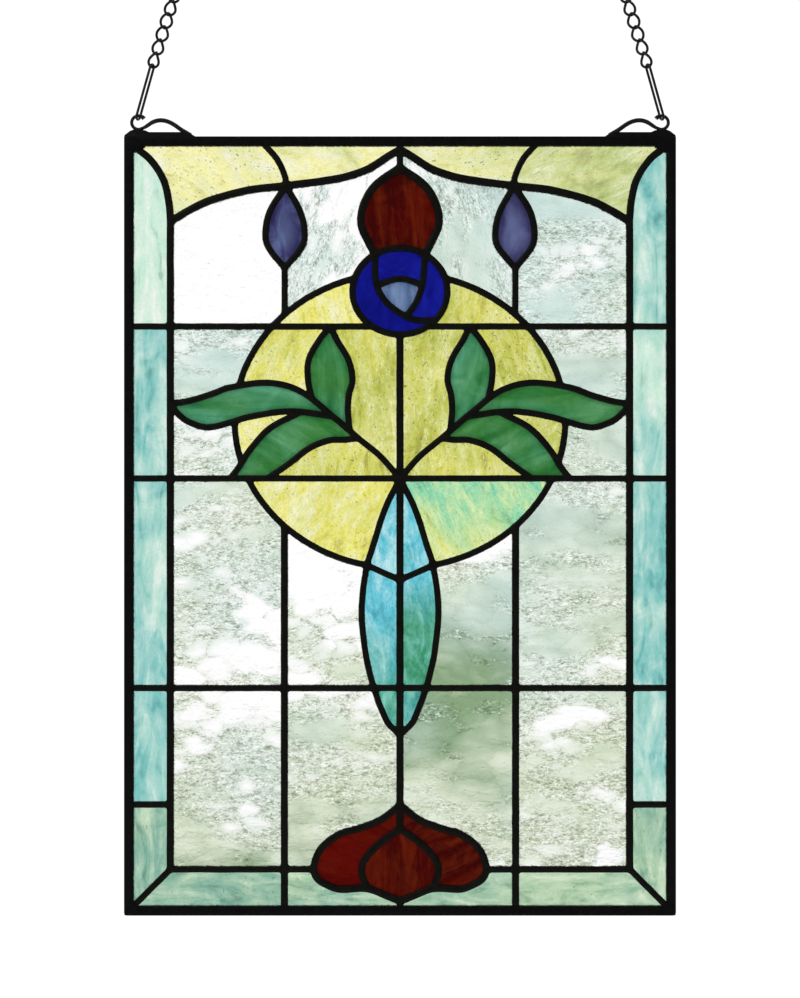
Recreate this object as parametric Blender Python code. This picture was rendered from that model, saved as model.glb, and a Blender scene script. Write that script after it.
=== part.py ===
"""Leaded glass panel that hangs by two chains.

A lattice of lead lines holds panes of coloured glass inside a frame of U-channel. Wire lugs on
the frame's top corners carry long wire links, and a chain with a last ring rises from each.
The panel stands in the XZ plane and faces -Y. The origin lies midway between the two places
where the last rings bear on what they hang from.
"""
import math
from typing import NamedTuple

import bmesh
import bpy
from mathutils import Matrix, Vector
from mathutils.geometry import delaunay_2d_cdt, interpolate_bezier, intersect_line_line_2d

MM = 0.001

# The panel, and the size at which its design was drawn
PANEL_WIDTH = 431.8 * MM
PANEL_HEIGHT = 609.6 * MM
DRAWING = (431.8, 609.6)

# Frame of U-channel
FRAME_FACE = 7.5 * MM
FRAME_DEPTH = 6.4 * MM
FRAME_WEB = 1.0 * MM
FRAME_CORNER_RADIUS = 2.4 * MM

# Glass and lead. The channel is the space between a lead line's two flanges.
GLASS_THICKNESS = 3.0 * MM
GLASS_PLAY = 0.3 * MM
FLANGE_THICKNESS = 0.9 * MM
HEART_THICKNESS = 1.2 * MM
GLASS_IN_FRAME = 4.0 * MM
LEAD_FACE = 4.3 * MM
BOLD_FACE = 6.0 * MM
TULIP_FACE = 5.5 * MM
FLOWER_FACE = 5.0 * MM

# Space between pieces that touch, and where bars meet
GAP = 0.3 * MM

# Border strips and the straight lines across the panel, from its bottom edge
BORDER_WIDTH = 36.1 * MM
BORDER_BASE = PANEL_HEIGHT * 36.0 / DRAWING[1]
RAIL_UPPER = PANEL_HEIGHT * 461.0 / DRAWING[1]
RAIL_MIDDLE = PANEL_HEIGHT * 342.0 / DRAWING[1]
RAIL_LOWER = PANEL_HEIGHT * 177.9 / DRAWING[1]
RAIL_BORDER = PANEL_HEIGHT * 86.7 / DRAWING[1]

# Lugs of bent wire
LUG_WIRE = 2.4 * MM
HUMP_WIRE = 3.2 * MM
LUG_TIP_WIRE = 3.3 * MM
LUG_RING_RADIUS = 5.3 * MM
LUG_RING_INSET = 11.0 * MM
LUG_RING_RISE = 11.2 * MM
LUG_LENGTH = 55.9 * MM
HUMP_RISE = 13.0 * MM
HUMP_INSET = 29.1 * MM
SOLDER_DEPTH = 5.0 * MM
SOLDER_RISE = 3.6 * MM

# Long wire links between the lugs and the chains
HOOK_WIRE = 1.8 * MM
HOOK_LENGTH = 46.4 * MM
HOOK_OPENING = 4.1 * MM
HOOK_LEAN = math.radians(15.6)
HOOK_TURN = math.radians(34.0)

# Chains of twisted links, and their last rings
LINK_WIRE = 1.9 * MM
LINK_LENGTH = 14.0 * MM
LINK_WIDTH = 10.9 * MM
LINK_BITE = 0.5 * MM
LINK_TWIST = math.radians(90.0)
LINK_FACING = math.radians(45.0)
CHAIN_SWAY = math.radians(25.0)
CHAIN_LEAN = math.radians(17.5)
CHAIN_LINKS = 6
RING_WIRE = 1.9 * MM
RING_WIDTH = 16.0 * MM

# How finely curves are cut into straight pieces
CURVE_TOLERANCE = 0.8 * MM
SIDE_TOLERANCE = 0.1 * MM
JOIN_TOLERANCE = 0.01 * MM
OVERRUN = 5.0 * MM
SMALLEST_CELL = 20.0 * MM * MM
SHORTEST_EDGE = 0.25 * MM

GLASS_COLOURS = {
    "border": (0.50, 0.79, 0.76),
    "band": (0.82, 0.84, 0.38),
    "clear": (0.80, 0.86, 0.82),
    "disc": (0.90, 0.88, 0.42),
    "leaf": (0.08, 0.36, 0.16),
    "purple": (0.16, 0.13, 0.42),
    "red": (0.26, 0.01, 0.01),
    "blue": (0.01, 0.02, 0.36),
    "pale_blue": (0.26, 0.35, 0.62),
    "pod": (0.18, 0.62, 0.68),
}


class Line(NamedTuple):
    """A lead line's centre: its face is its visible width, and at a seam the glass runs on."""

    name: str
    points: list
    face: float
    seam: bool = False


def at(x, z):
    """A point of the drawing, in its millimetres, as a point of the panel."""
    return Vector((x * PANEL_WIDTH / DRAWING[0], z * PANEL_HEIGHT / DRAWING[1]))


def drawn(*pairs):
    return [at(x, z) for x, z in pairs]


def mirrored(points):
    return [Vector((-p.x, p.y)) for p in points]


def thinned(points, tolerance=CURVE_TOLERANCE):
    """Only the points that a line needs to stay within the tolerance of its curve."""
    first, last = points[0], points[-1]
    if len(points) < 3:
        return [first, last]
    chord = last - first
    farthest, distance = 0, 0.0
    for i in range(1, len(points) - 1):
        offset = points[i] - first
        if chord.length < JOIN_TOLERANCE:
            away = offset.length
        else:
            away = abs(chord.cross(offset)) / chord.length
        if away > distance:
            farthest, distance = i, away
    if distance <= tolerance:
        return [first, last]
    return thinned(points[: farthest + 1], tolerance)[:-1] + thinned(points[farthest:], tolerance)


def smooth(points, joint=None, steps=12):
    """A smooth curve through the points. It keeps a joint, where other lines end on it."""
    count = len(points)
    tangents = []
    for i in range(count):
        before = points[max(i - 1, 0)]
        after = points[min(i + 1, count - 1)]
        tangents.append((after - before).normalized())
    curve = [points[0]]
    for i in range(count - 1):
        third = (points[i + 1] - points[i]).length / 3
        handle_out = points[i] + tangents[i] * third
        handle_in = points[i + 1] - tangents[i + 1] * third
        curve += interpolate_bezier(points[i], handle_out, handle_in, points[i + 1], steps - 1)[1:]
        curve[-1] = points[i + 1]
    curve = [Vector(p[:2]) for p in curve]
    if joint is None:
        return thinned(curve)
    cut = min(range(len(curve)), key=lambda i: (curve[i] - joint).length)
    return thinned(curve[: cut + 1])[:-1] + thinned(curve[cut:])


def ellipse_arc(centre, half_width, half_height, start, end, steps=48):
    """An arc of an ellipse, between two angles in degrees from +X towards +Z."""
    arc = []
    for i in range(steps + 1):
        angle = math.radians(start + (end - start) * i / steps)
        arc.append(centre + Vector((half_width * math.cos(angle), half_height * math.sin(angle))))
    return thinned(arc)


def run_on(points, at_start=False, at_end=False):
    """A line carried on past the line it ends at. What sticks out beyond is dropped later."""
    line = list(points)
    if at_start:
        line.insert(0, line[0] + (line[0] - line[1]).normalized() * OVERRUN)
    if at_end:
        line.append(line[-1] + (line[-1] - line[-2]).normalized() * OVERRUN)
    return line


def opening_corners(inset=0.0):
    """Corners of the frame's opening, anticlockwise from the bottom left."""
    half = PANEL_WIDTH / 2 - FRAME_FACE - inset
    low = FRAME_FACE + inset
    high = PANEL_HEIGHT - FRAME_FACE - inset
    return [Vector((-half, low)), Vector((half, low)), Vector((half, high)), Vector((-half, high))]


def frame_lines():
    corners = opening_corners()
    names = ("frame_bottom", "frame_right", "frame_top", "frame_left")
    return [Line(name, [corners[i], corners[(i + 1) % 4]], 0.0) for i, name in enumerate(names)]


def leaf_tip():
    """Where the left long leaf's point meets the border's lead line."""
    return Vector((-PANEL_WIDTH / 2 + BORDER_WIDTH, at(0, 400.5).y))


def upright_tip():
    """Where the left upright leaf's point meets the upper rail."""
    return Vector((at(-54.5, 0).x, RAIL_UPPER))


def leaf_feet():
    """How far across both sides of the left lower leaf end on the middle rail."""
    return at(-133, 0).x, at(-103.5, 0).x


def border_lines():
    """The lines that part the border strips from the picture, for the left half."""
    low_corner, _, _, high_corner = opening_corners()
    side = -PANEL_WIDTH / 2 + BORDER_WIDTH
    inner_corner = Vector((side, BORDER_BASE))
    bend = [Vector((side, at(0, z).y)) for z in (530, 545)]
    bend += drawn((-181.3, 560.3), (-185.2, 575.9), (-195.4, 591.6)) + [high_corner]
    tulip_side = Vector((at(-67.0, 0).x, BORDER_BASE))
    lines = [
        Line("border_side", [inner_corner, leaf_tip()] + smooth(bend), LEAD_FACE),
        Line("border_base", run_on([inner_corner, tulip_side], at_end=True), LEAD_FACE),
        Line("mitre", [low_corner, inner_corner], LEAD_FACE),
    ]
    for name, height in (("upper", RAIL_UPPER), ("middle", RAIL_MIDDLE), ("border", RAIL_BORDER)):
        strip = run_on([Vector((low_corner.x, height)), Vector((side, height))], at_start=True)
        lines.append(Line("strip_" + name, strip, LEAD_FACE, True))
    return lines


def rail_lines():
    """Straight lines across the panel that are their own mirror images."""
    half = PANEL_WIDTH / 2 - BORDER_WIDTH
    wall = PANEL_WIDTH / 2 - FRAME_FACE
    ends = [-half, *leaf_feet(), 0.0]
    middle = [Vector((x, RAIL_MIDDLE)) for x in ends + [-x for x in reversed(ends[:-1])]]
    lower = [Vector((-wall, RAIL_LOWER)), Vector((wall, RAIL_LOWER))]
    return [
        Line("rail_middle", middle, LEAD_FACE),
        Line("rail_lower", run_on(lower, at_start=True, at_end=True), LEAD_FACE, True),
    ]


def centre_lines():
    """Upright lines on the panel's axis, and the closed outline of the flower."""
    top = Vector((0.0, PANEL_HEIGHT - FRAME_FACE))
    bottom = Vector((0.0, FRAME_FACE))
    flower = ellipse_arc(at(0, 488.6), at(37.2, 0).x, at(0, 33.9).y, -90, 90)
    flower += mirrored(reversed(flower[1:-1])) + [flower[0]]
    petal_left = drawn(
        (-19.5, 517.5), (-18.6, 494.4), (-12.3, 481.9), (-4.3, 474.4), (6.7, 467.8), (15, 465.9), (28.5, 466)
    )
    petal_right = drawn((19.5, 517.5), (17.9, 496.4), (13.3, 481), (5, 468.9))
    petal_brow = drawn((-17.8, 493.3), (0, 498.3), (17.5, 493.7))
    return [
        Line("spine", [flower[0], Vector((0.0, RAIL_MIDDLE)), at(0, 67.8)], LEAD_FACE),
        Line("bud_stub", [top, at(0, 597), at(0, 585.4)], BOLD_FACE),
        Line("tulip_stub", [at(0, 11), bottom], LEAD_FACE, True),
        Line("flower", flower, FLOWER_FACE),
        Line("petal_left", run_on(smooth(petal_left), at_start=True, at_end=True), LEAD_FACE),
        Line("petal_right", run_on(smooth(petal_right), at_start=True, at_end=True), LEAD_FACE),
        Line("petal_brow", run_on(smooth(petal_brow), at_start=True, at_end=True), LEAD_FACE),
    ]


def shoulder_lines():
    """The curve under the top band, the line that parts the band, and both hanging buds."""
    top = PANEL_HEIGHT - FRAME_FACE
    side = -PANEL_WIDTH / 2 + BORDER_WIDTH
    bud_top = at(-89.3, 571.1)
    shoulder = [Vector((side, at(0, 543).y))]
    shoulder += drawn((-164.8, 552.1), (-149.1, 559.5), (-117.8, 567.8)) + [bud_top]
    shoulder += drawn((-55, 575.6), (-39.2, 579), (-23.6, 585), (-9, 593.5), (0, 597))
    parting = [Vector((at(-105, 0).x, top))] + drawn((-96, 591.6), (-89.9, 578)) + [bud_top]
    bud_outer = [bud_top] + drawn((-101.3, 552.4), (-105.3, 536.8), (-103.6, 524), (-90.3, 506.6))
    bud_inner = [bud_top] + drawn((-78.7, 552.4), (-74.7, 536.8), (-76.4, 524), (-90.3, 506.6))
    stem = run_on(drawn((-90.3, 506.6), (-90.3, 470)), at_end=True)
    return [
        Line("shoulder", run_on(smooth(shoulder, bud_top), at_start=True), BOLD_FACE),
        Line("band_parting", run_on(smooth(parting), at_start=True), LEAD_FACE),
        Line("bud_outer", smooth(bud_outer), LEAD_FACE),
        Line("bud_inner", smooth(bud_inner), LEAD_FACE),
        Line("bud_stem", stem, LEAD_FACE),
    ]


def red_bud_line():
    bud = drawn(
        (0, 585.4), (-19.6, 571.3), (-28.6, 556), (-30.4, 541), (-24.9, 527.4), (-19.5, 517.5)
    )
    return [Line("red_bud", run_on(smooth(bud), at_end=True), BOLD_FACE)]


def disc_lines():
    """The disc's outline, which stops where the flower and the leaves cover it."""
    centre = at(0, 387.5)
    half_width = at(129.5, 0).x
    half_height = at(0, 115.7).y
    crown = ellipse_arc(centre, half_width, half_height, 106.2, 166)
    gap = ellipse_arc(centre, half_width, half_height, 181, 196.8)
    foot = ellipse_arc(centre, half_width, half_height, 203.2, 258.4)
    foot[-1] = at(-25.9, 274)
    side = -PANEL_WIDTH / 2 + BORDER_WIDTH
    wing = [Vector((side, RAIL_UPPER)), upright_tip(), Vector((at(-22, 0).x, RAIL_UPPER))]
    upright = [Vector((at(-90.5, 0).x, z)) for z in (at(0, 304.7).y, BORDER_BASE, FRAME_FACE)]
    return [
        Line("disc_crown", run_on(crown, at_start=True, at_end=True), LEAD_FACE),
        Line("disc_gap", run_on(gap, at_start=True, at_end=True), LEAD_FACE),
        Line("disc_foot", run_on(foot, at_start=True), LEAD_FACE),
        Line("chevron", [at(-25.9, 274), at(0, 262.5)], LEAD_FACE, True),
        Line("rail_upper", run_on(wing, at_end=True), LEAD_FACE),
        Line("low_upright", run_on(upright[:2], at_start=True, at_end=True), LEAD_FACE),
        Line("strip_upright", run_on(upright[1:], at_end=True), LEAD_FACE, True),
    ]


def leaf_lines():
    """The stem that sweeps up into the long leaf, and the three leaves' other sides."""
    stem = [leaf_tip()] + drawn(
        (-166, 402.6), (-149.1, 407.5), (-133.4, 413.2), (-102.1, 416.9), (-78.6, 410.6), (-55, 392.6)
    )
    stem += drawn((-31.5, 372.6), (-15.8, 359.7)) + [Vector((0.0, RAIL_MIDDLE))]
    long_under = [leaf_tip()] + drawn(
        (-174, 392.8), (-164.8, 386), (-149.1, 382), (-117.8, 390.2), (-86.4, 394.5), (-52.7, 390.7)
    )
    upright_outer = [upright_tip()] + drawn((-63.1, 450.6), (-71.5, 434.9), (-72, 419.2), (-69.2, 405.1))
    upright_inner = [upright_tip()] + drawn((-49.4, 450.6), (-40.4, 434.9), (-37.2, 419.2), (-40, 407.5))
    upright_inner += drawn((-40.8, 395.7), (-39.4, 379.7))
    low_over = drawn((-80, 393), (-102.1, 381.2), (-117.8, 364), (-126, 351))
    over_foot, under_foot = leaf_feet()
    low_over.append(Vector((over_foot, RAIL_MIDDLE)))
    low_under = drawn((-33.1, 373.4), (-43, 372.2), (-55, 371.8), (-70.7, 365.9), (-86.4, 353.8))
    low_under.append(Vector((under_foot, RAIL_MIDDLE)))
    return [
        Line("stem", smooth(stem), LEAD_FACE),
        Line("long_under", run_on(smooth(long_under), at_end=True), LEAD_FACE),
        Line("upright_outer", run_on(smooth(upright_outer), at_end=True), LEAD_FACE),
        Line("upright_inner", run_on(smooth(upright_inner), at_end=True), LEAD_FACE),
        Line("low_over", run_on(smooth(low_over), at_start=True), LEAD_FACE),
        Line("low_under", run_on(smooth(low_under), at_start=True), LEAD_FACE),
    ]


def pod_line():
    pod = [Vector((0.0, RAIL_MIDDLE))] + drawn((-12, 317.4), (-22.1, 286), (-25.9, 274))
    pod += drawn((-29.6, 248), (-29.6, 227), (-24.3, 192), (-10.8, 152.8), (0, 141))
    return [Line("pod_side", smooth(pod, at(-25.9, 274)), LEAD_FACE)]


def tulip_lines():
    outer = drawn((0, 86.2), (-15.8, 74.4), (-31.5, 68.2), (-47.2, 63.5), (-62, 52), (-67.6, 37))
    outer += drawn((-64.5, 28.5), (-55.4, 23), (-47.2, 20.4), (-25.6, 20.8), (-8.5, 14.3), (0, 11))
    petal = drawn((0, 67.8), (-16.5, 55.8), (-28.5, 42), (-29.6, 31), (-25, 20.8))
    return [
        Line("tulip_outer", smooth(outer), TULIP_FACE),
        Line("tulip_petal", run_on(smooth(petal), at_end=True), TULIP_FACE),
    ]


def all_lines():
    """Every lead line of the panel. The picture is drawn for its left half and mirrored."""
    halves = border_lines() + shoulder_lines() + red_bud_line() + disc_lines() + leaf_lines()
    halves += pod_line() + tulip_lines()
    lines = frame_lines() + rail_lines() + centre_lines()
    for line in halves:
        lines.append(line._replace(name=line.name + "_left"))
        lines.append(line._replace(name=line.name + "_right", points=mirrored(line.points)))
    return lines


def linked_points(lines):
    """The crossings of the lines: each point's place, and its neighbours with the line between."""
    points, edges, owners = [], [], []
    for line in lines:
        first = len(points)
        points += line.points
        for i in range(len(line.points) - 1):
            edges.append((first + i, first + i + 1))
            owners.append(line)
    places, pairs, _, _, origins, _ = delaunay_2d_cdt(points, edges, [], 0, JOIN_TOLERANCE)
    links = {}
    for (a, b), origin in zip(pairs, origins):
        if origin:
            links.setdefault(a, {})[b] = owners[origin[0]]
            links.setdefault(b, {})[a] = owners[origin[0]]
    loose = [a for a in links if len(links[a]) == 1]
    while loose:
        end = loose.pop()
        for neighbour in links.pop(end):
            del links[neighbour][end]
            if len(links[neighbour]) == 1:
                loose.append(neighbour)
    return places, links


def signed_area(points):
    pairs = zip(points, points[1:] + points[:1])
    return sum(a.x * b.y - b.x * a.y for a, b in pairs) / 2


def grouped_sides(steps):
    """One side for each stretch of a cell's edge along one line, as the line and its points."""
    start = next(i for i in range(len(steps)) if steps[i][2].name != steps[i - 1][2].name)
    sides = []
    for a, b, line in steps[start:] + steps[:start]:
        if sides and sides[-1][0].name == line.name:
            sides[-1][1].append(b)
        else:
            sides.append((line, [a, b]))
    return sides


def cells(lines):
    """The closed cells between the lines, each as its sides in anticlockwise order."""
    places, links = linked_points(lines)
    turns = {}
    for a, around in links.items():
        turns[a] = sorted(around, key=lambda b: math.atan2(*reversed(places[b] - places[a])))
    unused = {(a, b) for a in links for b in links[a]}
    found = []
    while unused:
        a, b = min(unused)
        steps = []
        while (a, b) in unused:
            unused.discard((a, b))
            steps.append((places[a], places[b], links[a][b]))
            around = turns[b]
            a, b = b, around[around.index(a) - 1]
        if signed_area([step[0] for step in steps]) > SMALLEST_CELL:
            found.append(grouped_sides(steps))
    return found


def shifted(points, distance):
    """A line moved to its left, and run on past both ends so that it meets its neighbours."""
    directions = [(b - a).normalized() for a, b in zip(points, points[1:])]
    normals = [Vector((-d.y, d.x)) for d in directions]
    moved = [points[0] + normals[0] * distance]
    for i in range(1, len(points) - 1):
        bisector = (normals[i - 1] + normals[i]).normalized()
        moved.append(points[i] + bisector * distance / max(bisector.dot(normals[i]), 0.3))
    moved.append(points[-1] + normals[-1] * distance)
    reach = abs(distance) * 3 + OVERRUN
    return [moved[0] - directions[0] * reach] + moved + [moved[-1] + directions[-1] * reach]


def meeting(one, two, corner):
    """Where two shifted sides cross nearest to their corner: the point, and how far along each."""
    best = None
    for i in range(len(one) - 1):
        for j in range(len(two) - 1):
            point = intersect_line_line_2d(one[i], one[i + 1], two[j], two[j + 1])
            if point is None:
                continue
            away = (point - corner).length
            if best is None or away < best[0]:
                best = (away, point, i, j)
    return best


def inset(sides, margin):
    """A cell drawn in from each side by that side's margin, as its lines and their points."""
    sides = [(line, thinned(points, SIDE_TOLERANCE)) for line, points in sides]
    while True:
        moved = [shifted(points, margin(line)) for line, points in sides]
        count = len(sides)
        joints = [meeting(moved[i - 1], moved[i], sides[i][1][0]) for i in range(count)]
        drawn_in = []
        swallowed = None
        for i in range(count):
            begin, end = joints[i], joints[(i + 1) % count]
            if begin is None:
                first, first_step = moved[i][1], 1
            else:
                first, first_step = begin[1], begin[3]
            if end is None:
                last, last_step = moved[i][-2], len(moved[i]) - 3
            else:
                last, last_step = end[1], end[2]
            along = moved[i][first_step + 1] - moved[i][first_step]
            backwards = first_step == last_step and (last - first).dot(along) < 0
            if first_step > last_step or backwards:
                swallowed = i
                break
            drawn_in.append((sides[i][0], [first] + moved[i][first_step + 1 : last_step + 1] + [last]))
        if swallowed is None:
            return drawn_in
        del sides[swallowed]


def outline(sides):
    """One closed outline from a cell's sides, without points that fall together."""
    loop = []
    for _, points in sides:
        for point in points:
            if not loop or (point - loop[-1]).length > SHORTEST_EDGE:
                loop.append(point)
    if (loop[0] - loop[-1]).length <= SHORTEST_EDGE:
        loop.pop()
    return loop


def frame_side(sides):
    """Where a cell's side along the frame is in its list of sides, or None."""
    for i, (line, _) in enumerate(sides):
        if line.name.startswith("frame_"):
            return i
    return None


def lattice_loops(lines, margin):
    """Outlines of the leading: its outer edge, open to the frame, and a hole for each other cell."""
    order = [line.name for line in frame_lines()]
    corners = opening_corners(margin(frame_lines()[0]))
    holes, notches = [], []
    for cell in cells(lines):
        sides = inset(cell, margin)
        index = frame_side(sides)
        if index is None:
            holes.append(outline(sides))
            continue
        line, edge = sides[index]
        rank = order.index(line.name)
        along = (line.points[-1] - line.points[0]).dot(edge[0])
        path = outline(sides[index + 1 :] + sides[:index])
        notches.append((rank, along, list(reversed(path))))
    notches.sort(key=lambda notch: notch[:2])
    rim = []
    for i, (rank, _, path) in enumerate(notches):
        rim += path
        if notches[(i + 1) % len(notches)][0] != rank:
            rim.append(corners[(rank + 1) % 4])
    return [rim] + holes


def inside(point, loop):
    """Whether a point is inside a closed outline."""
    odd = False
    for a, b in zip(loop, loop[1:] + loop[:1]):
        if (a.y > point.y) != (b.y > point.y):
            if point.x < a.x + (point.y - a.y) * (b.x - a.x) / (b.y - a.y):
                odd = not odd
    return odd


def pane_places():
    """Each pane's name, a point of the drawing inside it, and its glass."""
    halves = [
        ("border", (-194, 250), "border"),
        ("band_outer", (-150, 585), "band"),
        ("band_inner", (-50, 590), "band"),
        ("clear_top_outer", (-140, 510), "clear"),
        ("clear_top_inner", (-60, 520), "clear"),
        ("clear_side_upper", (-160, 440), "clear"),
        ("clear_side_lower", (-155, 360), "clear"),
        ("clear_low_outer", (-140, 250), "clear"),
        ("clear_low_inner", (-60, 200), "clear"),
        ("disc_crown", (-60, 472), "disc"),
        ("disc_outer", (-95, 438), "disc"),
        ("disc_inner", (-20, 420), "disc"),
        ("disc_gap", (-116, 379), "disc"),
        ("disc_under", (-40, 357), "disc"),
        ("disc_foot", (-60, 315), "disc"),
        ("leaf_long", (-120, 403), "leaf"),
        ("leaf_upright", (-55, 430), "leaf"),
        ("leaf_low", (-75, 379), "leaf"),
        ("bud_purple", (-90, 535), "purple"),
        ("pod", (-12, 230), "pod"),
        ("tulip", (-48, 43), "red"),
    ]
    places = [
        ("border_bottom", (-140, 20), "border"),
        ("bud_red", (0, 550), "red"),
        ("petal_left", (-28, 485), "blue"),
        ("petal_top", (0, 508), "blue"),
        ("petal_right", (27, 485), "blue"),
        ("flower_centre", (0, 487), "pale_blue"),
        ("tulip_centre", (0, 40), "red"),
    ]
    for name, (x, z), glass in halves:
        places.append((name + "_left", (x, z), glass))
        places.append((name + "_right", (-x, z), glass))
    return places


def material(name, colour, roughness, metallic=0.0, transmission=0.0):
    finish = bpy.data.materials.new(name)
    finish.use_nodes = True
    shader = finish.node_tree.nodes["Principled BSDF"]
    shader.inputs["Base Color"].default_value = (*colour, 1.0)
    shader.inputs["Roughness"].default_value = roughness
    shader.inputs["Metallic"].default_value = metallic
    shader.inputs["Transmission Weight"].default_value = transmission
    return finish


def add_curve(name, splines, finish, cyclic=True, dimensions="2D"):
    """A curve of straight pieces. Each spline's points may have a fourth number, their radius."""
    curve = bpy.data.curves.new(name, "CURVE")
    curve.dimensions = dimensions
    for points in splines:
        spline = curve.splines.new("POLY")
        spline.points.add(len(points) - 1)
        for target, point in zip(spline.points, points):
            target.co = (point[0], point[1], point[2] if len(point) > 2 else 0.0, 1.0)
            target.radius = point[3] if len(point) > 3 else 1.0
        spline.use_cyclic_u = cyclic
    curve.materials.append(finish)
    obj = bpy.data.objects.new(name, curve)
    bpy.data.collections["Leaded panel"].objects.link(obj)
    return obj


def plate(name, loops, thickness, finish, middle=0.0):
    """A flat plate that stands in the XZ plane, from its outlines and how far back it lies."""
    obj = add_curve(name, loops, finish)
    obj.data.fill_mode = "BOTH"
    obj.data.extrude = thickness / 2
    obj.matrix_world = Matrix.Translation((0.0, middle, -hang_height())) @ Matrix.Rotation(
        math.pi / 2, 4, "X"
    )
    return obj


def wire(name, points, diameter, finish, cyclic=False, sides_setting=1):
    """A round wire along points of the panel, (x, y, z) or (x, y, z, share of its diameter)."""
    obj = add_curve(name, [points], finish, cyclic, "3D")
    obj.data.bevel_depth = diameter / 2
    obj.data.bevel_resolution = sides_setting
    obj.data.use_fill_caps = not cyclic
    obj.matrix_world = Matrix.Translation((0.0, 0.0, -hang_height()))
    return obj


def as_mesh(obj):
    """The same object as one welded mesh, in place of its curve."""
    bpy.context.view_layer.update()
    shape = obj.evaluated_get(bpy.context.evaluated_depsgraph_get())
    mesh = bpy.data.meshes.new_from_object(shape)
    mesh.transform(obj.matrix_world)
    body = bmesh.new()
    body.from_mesh(mesh)
    bmesh.ops.remove_doubles(body, verts=body.verts, dist=JOIN_TOLERANCE)
    bmesh.ops.recalc_face_normals(body, faces=body.faces)
    body.to_mesh(mesh)
    body.free()
    name = obj.name
    bpy.data.objects.remove(obj)
    solid = bpy.data.objects.new(name, mesh)
    bpy.data.collections["Leaded panel"].objects.link(solid)
    return solid


def combined(base, others, operation="UNION"):
    """One solid from a first one and others that join it or are cut from it."""
    base = as_mesh(base)
    tools = [as_mesh(other) for other in others]
    for tool in tools:
        step = base.modifiers.new("step", "BOOLEAN")
        step.operation = operation
        step.object = tool
        step.solver = "EXACT"
    solid = as_mesh(base)
    for tool in tools:
        bpy.data.objects.remove(tool)
    return solid


def bar_outline(length, width, radius, near_round, far_round):
    """A mitred bar that runs along +X with its outer edge at z = 0, anticlockwise."""
    half = length / 2
    cut = GAP / math.sqrt(2)

    def outer_end(rounded):
        if not rounded:
            return [Vector((half - cut, 0.0))]
        last = -math.radians(45) - math.asin(cut / (radius * math.sqrt(2)))
        steps = 4
        angles = [-math.pi / 2 + (last + math.pi / 2) * i / steps for i in range(steps + 1)]
        return [
            Vector((half - radius + radius * math.cos(a), radius + radius * math.sin(a)))
            for a in angles
        ]

    far = outer_end(far_round) + [Vector((half - width - cut, width))]
    near = outer_end(near_round) + [Vector((half - width - cut, width))]
    return [Vector((-p.x, p.y)) for p in reversed(near)] + far


def build_frame(finish):
    """Four mitred lengths of channel, rounded where they meet at the bottom corners."""
    turns = {
        "frame_bottom": (PANEL_WIDTH, 0, Vector((0.0, 0.0)), True, True),
        "frame_right": (PANEL_HEIGHT, 90, Vector((PANEL_WIDTH / 2, PANEL_HEIGHT / 2)), True, False),
        "frame_top": (PANEL_WIDTH, 180, Vector((0.0, PANEL_HEIGHT)), False, False),
        "frame_left": (PANEL_HEIGHT, 270, Vector((-PANEL_WIDTH / 2, PANEL_HEIGHT / 2)), False, True),
    }
    channel = GLASS_THICKNESS + 2 * GLASS_PLAY
    for name, (length, turn, place, near_round, far_round) in turns.items():
        spin = Matrix.Rotation(math.radians(turn), 2)
        solid = bar_outline(length, FRAME_FACE, FRAME_CORNER_RADIUS, near_round, far_round)
        past = length / 2 + OVERRUN
        slot = [(-past, FRAME_WEB), (past, FRAME_WEB), (past, FRAME_FACE + OVERRUN)]
        slot.append((-past, FRAME_FACE + OVERRUN))
        bar = plate(name, [[spin @ p + place for p in solid]], FRAME_DEPTH, finish)
        cutter = plate("slot", [[spin @ Vector(p) + place for p in slot]], channel, finish)
        combined(bar, [cutter], "DIFFERENCE")


def edge_loops(body, loops, depth):
    """Closed loops of edges that stand in the XZ plane, at a distance behind the panel's middle."""
    edges = []
    for loop in loops:
        corners = [body.verts.new((p.x, depth, p.y - hang_height())) for p in loop]
        edges += [body.edges.new((corners[i - 1], corners[i])) for i in range(len(corners))]
    return edges


def fill_between(body, edges):
    """Flat faces over the area that the loops of edges bound, with holes left open."""
    corners = list(dict.fromkeys(corner for edge in edges for corner in edge.verts))
    index = {corner: i for i, corner in enumerate(corners)}
    points = [Vector((corner.co.x, corner.co.z)) for corner in corners]
    pairs = [(index[edge.verts[0]], index[edge.verts[1]]) for edge in edges]
    found = delaunay_2d_cdt(points, pairs, [], 0, JOIN_TOLERANCE / 10)
    walls = {frozenset(pair) for pair, origin in zip(found[1], found[4]) if origin}
    beside = {}
    for triangle in found[2]:
        for i in range(3):
            beside.setdefault(frozenset((triangle[i - 1], triangle[i])), []).append(tuple(triangle))
    solid = {}
    waiting = [(sides[0], edge in walls) for edge, sides in beside.items() if len(sides) == 1]
    while waiting:
        triangle, is_solid = waiting.pop()
        if triangle in solid:
            continue
        solid[triangle] = is_solid
        for i in range(3):
            edge = frozenset((triangle[i - 1], triangle[i]))
            for other in beside[edge]:
                if other not in solid:
                    waiting.append((other, is_solid != (edge in walls)))
    for triangle, is_solid in solid.items():
        if is_solid:
            body.faces.new([corners[found[3][i][0]] for i in triangle])


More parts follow.
